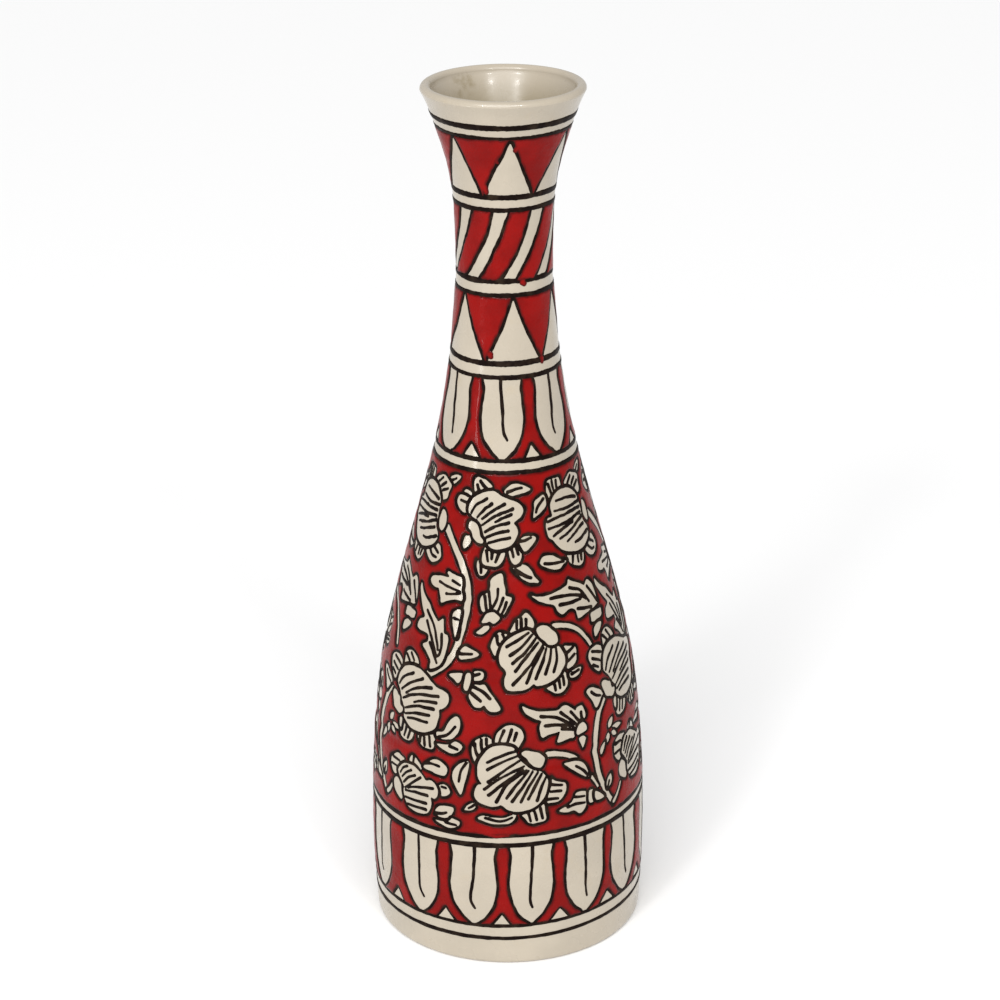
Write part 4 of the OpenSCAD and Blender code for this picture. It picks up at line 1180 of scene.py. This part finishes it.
    # the great flower low at the front
    flower(band, (2.5, 74.1), (
        ([(-14.5, 6.8), (-14.7, 9.7), (-13.8, 12.2), (-12.3, 13.7), (-10.2, 14.6), (-8.4, 14.1),
          (-7.4, 12.4),
          (-8.6, 9), (-11, 6), (-13, 4)],
         [[(-13.6, 11.6), (-13.4, 9), (-12.4, 6.6)], [(-11.4, 13.4), (-11.4, 9.8)],
          [(-9.6, 13.8), (-9.6, 11.4)]]),
        ([(-6.4, 12), (-6.2, 14.9), (-4.8, 17), (-2.5, 18.6), (0.2, 18.7), (2.5, 17.3), (3.4, 14.9),
          (2.6, 12.4),
          (0.6, 10), (-4, 10.6)],
         [[(-3.4, 16.8), (-4.9, 13.2)], [(-0.6, 17.2), (-2, 13.2)], [(1, 16), (0, 13.2)]]),
        ([(11.6, -1.4), (14.5, -3), (16.8, -4), (18.4, -4.7), (18.8, -7.4), (17.5, -9.8), (15.6, -11.1),
          (12.9, -11.2),
          (10, -10)], [[(12.8, -4.4), (17.2, -5.2)], [(12.6, -7), (16.8, -7.4)],
                       [(11.6, -9.6), (15.8, -10)]]),
        ([(2.2, -13.4), (3.7, -15.8), (5.2, -17.7), (7.9, -17.9), (11, -17.1), (10.9, -13.9), (10, -10.6),
          (5, -11)],
         [[(4.8, -13.6), (5.6, -17)], [(6.8, -12.6), (7.8, -16.8)], [(9, -12), (9.9, -16.4)]]),
    ), [(-12.8, 1.1), (-12.8, 3.8), (-11.6, 6.8), (-9.7, 9.5), (-7.1, 11.2), (-3.6, 11.6), (-0.9, 11.2),
        (0.5, 10),
        (1.4, 7.6), (2.7, 5.7), (4, 4.3), (5.4, 2.8), (7.2, 1.9), (9.5, 1.3), (11.1, -0.5), (12.1, -2.8),
        (11.7, -5.8),
        (10.4, -9), (7.9, -11.1), (4.8, -12.5), (1.4, -13.1), (-2.1, -12.3), (-4.6, -10.6), (-6.3, -11.1),
        (-9.4, -11.4), (-12.3, -10.2), (-13.9, -8.2), (-13.8, -5.8), (-12.7, -3.6), (-11.3, -3),
        (-12.4, -1.2)],
        [[(0.8, 9.6), (-4, 8), (-9.3, 5.2)], [(1.2, 7.8), (-4, 5.6), (-9.2, 2.4)],
         [(2, 6), (-3, 2.4), (-9, -2.1)],
         [(3.6, 3.6), (-2, 0.9), (-7, -2.2), (-10.4, -5)], [(3, 2.4), (-3.6, -2.6), (-9, -7.2)],
         [(4.4, 2), (-2.4, -3), (-6.4, -9.4)], [(5.2, 1.8), (1, -3), (-2.8, -7.8)],
         [(6.6, 1.4), (3, -4), (-0.9, -9)],
         [(8.4, 1), (5, -4.5), (2.3, -9.4)], [(9.8, 0.4), (7.5, -4), (5, -8.5)],
         [(11.2, -1.2), (9.6, -5), (8.1, -9.4)]],
        [(2.7, 8.7), (4.1, 9.6), (6.4, 9.1), (8.7, 8.3), (10.5, 6.8), (10.9, 5.5), (10.5, 3.6), (9.3, 2.6),
         (7.2, 3.2),
         (5.6, 4.6), (4.7, 6.5), (3.5, 7.5)])
    # the flower low on the left, whose copy on the right sits higher
    flower(band, (-42.5, 62.5), (
        ([(-12.3, 9.7), (-10, 11.3), (-7.8, 11), (-5.6, 10), (-6.4, 6), (-9.4, 2), (-11.5, 2.4),
          (-13.5, 4.2),
          (-14.1, 6.1), (-13.7, 8.2)], [[(-12.6, 8.8), (-9, 8.8)], [(-13.4, 5.8), (-10.4, 6)]]),
        ([(-3.6, 8), (-3.4, 10.8), (-2.8, 12.4), (-1.7, 13.1), (0.6, 12), (2.7, 9.6), (1, 7.6)],
         [[(-1.2, 12.6), (-1.5, 10.6)]]),
        ([(9.6, 5), (10.8, 5.4), (12.2, 6), (13.8, 5.5), (14.9, 3.8), (13.7, 2.3), (11.4, 1.4), (9.4, 2)],
         [[(11.6, 4.9), (13.2, 4.9)]]),
        ([(3.5, 10.3), (5.6, 13), (7.9, 14.4), (10.2, 14.4), (13.2, 12.4), (12.5, 9.6), (9.5, 9.1),
          (6.8, 9.7)],
         [[(4.2, 12), (7, 12.6), (10, 12.4)]]),
        ([(9.2, -4.2), (11, -2.4), (14.1, -1.5), (16.3, -1.7), (15.8, -3.9), (14.1, -6.1), (11.4, -6.5),
          (9.2, -6)],
         [[(9.4, -5.4), (12, -5), (13.6, -4.2)]]),
        ([(9, -8.1), (12.4, -7.8), (14.8, -7), (15.8, -5.9), (18.6, -6.7), (17.9, -8.6), (14.8, -9.8),
          (11.8, -9.2)],
         [[(13.2, -8), (17.2, -8.2)]]),
    ), [(-9.5, 4.9), (-7.8, 7.4), (-5.9, 8.9), (-3.6, 9.3), (-0.9, 9.2), (1.4, 8.1), (3.7, 6.5),
        (4.8, 5.6), (6.8, 6.2),
        (8.7, 5.4), (10.1, 3.4), (10, 1.1), (8.7, -0.4), (7.2, -0.3), (7.6, -2.4), (7, -4.7), (5.6, -6.7),
        (2.5, -7.9), (-0.4, -8), (-3.4, -7.2), (-4.6, -5.8), (-5.7, -3.9), (-6.1, -1.8), (-5.8, -0.5),
        (-7.1, 1.5),
        (-8.6, 3)],
        [[(-8, 4.4), (-6.6, 6.8), (-4.4, 8.2)], [(-7, 3), (-5, 5.4), (-2.4, 7.2)],
         [(-6, 1.2), (-3.6, 4), (-0.4, 5.8)],
         [(-5, -0.6), (-1.5, 2.6), (2.2, 5.8)], [(-3.6, 0), (1, 1.8), (8, 3.3)],
         [(-5, -1.6), (0, -0.6), (5.6, -0.1)],
         [(-5.2, -4), (0, -3.8), (5.2, -3.2)], [(-4, -6.3), (0, -6.1), (5, -5.5)]],
        [(-12, -0.8), (-11.1, 1.1), (-9.8, 1.8), (-8.2, 0.7), (-7.4, -0.5), (-7.2, -2.8), (-6.7, -4.7),
         (-7.8, -5.6),
         (-10.2, -4.3), (-11.5, -3)],
        turns=(TURNS[0], TURNS[1], (111, 5)))


def flower_field():
    """The wide field of vines, leaves and flowers between the waist and the shoulder."""
    low, high = WAIST[1], SHOULDER[0]
    band = Band(low - 3.2, high + 2.6, [VINES, LEAVES, FLOWERS, "edge"], 71)
    paint_vines(band)
    paint_leaves(band)
    paint_flowers(band)
    band.between(band.ring("edge", low, tilt=1.0), band.ring("edge", high))
    band.drip([(-11.5, 53.1), (-5, 51.5), (0, 51.9)], 2.2)
    lay_enamel(band, "floral_ground_red", VINES, LEAVES, FLOWERS)


# ---- stage ----


def build_floor():
    """A wide pale floor."""
    half = 6.0
    mesh = bpy.data.meshes.new("floor")
    corners = [(-half, -half, 0), (half, -half, 0), (half, half, 0), (-half, half, 0)]
    mesh.from_pydata(corners, [], [(0, 1, 2, 3)])
    matt, _, shader = node_material("floor", Roughness=0.9, Specular_IOR_Level=0.1)
    shader.inputs["Base Color"].default_value = (0.93, 0.93, 0.93, 1)
    mesh.materials.append(matt)
    floor = bpy.data.objects.new("floor", mesh)
    bpy.context.scene.collection.objects.link(floor)


def softbox(name, place, aim, size, power):
    """A rectangular light that faces the point aim."""
    light = bpy.data.lights.new(name, "AREA")
    light.shape = "RECTANGLE"
    light.size, light.size_y = size
    light.energy = power
    lamp = bpy.data.objects.new(name, light)
    bpy.context.scene.collection.objects.link(lamp)
    lamp.location = place
    lamp.rotation_euler = (Vector(place) - Vector(aim)).to_track_quat("Z", "Y").to_euler()


def build_light(height):
    """White surroundings, a wide soft key from in front, and three softboxes for the highlights."""
    world = bpy.data.worlds.new("studio")
    world.use_nodes = True
    sky = world.node_tree.nodes["Background"]
    sky.inputs["Color"].default_value = (1, 1, 1, 1)
    sky.inputs["Strength"].default_value = 0.62
    bpy.context.scene.world = world
    key = bpy.data.lights.new("key", "SUN")
    key.energy = 2.1
    key.angle = math.radians(50)
    above, aside = 36, 8
    sun = bpy.data.objects.new("key", key)
    sun.rotation_euler = (math.radians(90 - above), 0, math.radians(-aside))
    bpy.context.scene.collection.objects.link(sun)
    middle = (0, 0, 0.7 * height)
    box = 0.45 * height
    low_aim = (0, 0, 0.45 * height)
    softbox("low", (-2.26 * height, -1.97 * height, 0.55 * height), low_aim, (box * 0.6, box), 0.55)
    softbox("left", (-1.5 * height, -3.0 * height, 3.2 * height), middle, (box, box), 3.0)
    softbox("right", (1.3 * height, -3.0 * height, 3.2 * height), middle, (box, box), 2.4)


def build_camera(height):
    """Camera in front and above, looking down at the vase from 2.9 times its height away."""
    data = bpy.data.cameras.new("camera")
    camera = bpy.data.objects.new("camera", data)
    bpy.context.scene.collection.objects.link(camera)
    data.sensor_width = 36
    data.lens = 98.4
    down, roll = 22.49, -0.43
    place = Matrix.Translation((-0.0068 * height, -2.8743 * height, 1.7060 * height))
    turn = Matrix.Rotation(math.radians(90 - down), 4, "X") @ Matrix.Rotation(math.radians(roll), 4, "Z")
    camera.matrix_world = place @ turn
    bpy.context.scene.camera = camera


glaze_coats()
upper_triangles()
spiral_stripes()
lower_triangles()
neck_petals()
flower_field()
foot_petals()
all_rings()
build_floor()
build_light(CAD_BOX[1].z)
build_camera(CAD_BOX[1].z)
bpy.context.scene.view_settings.view_transform = "Standard"
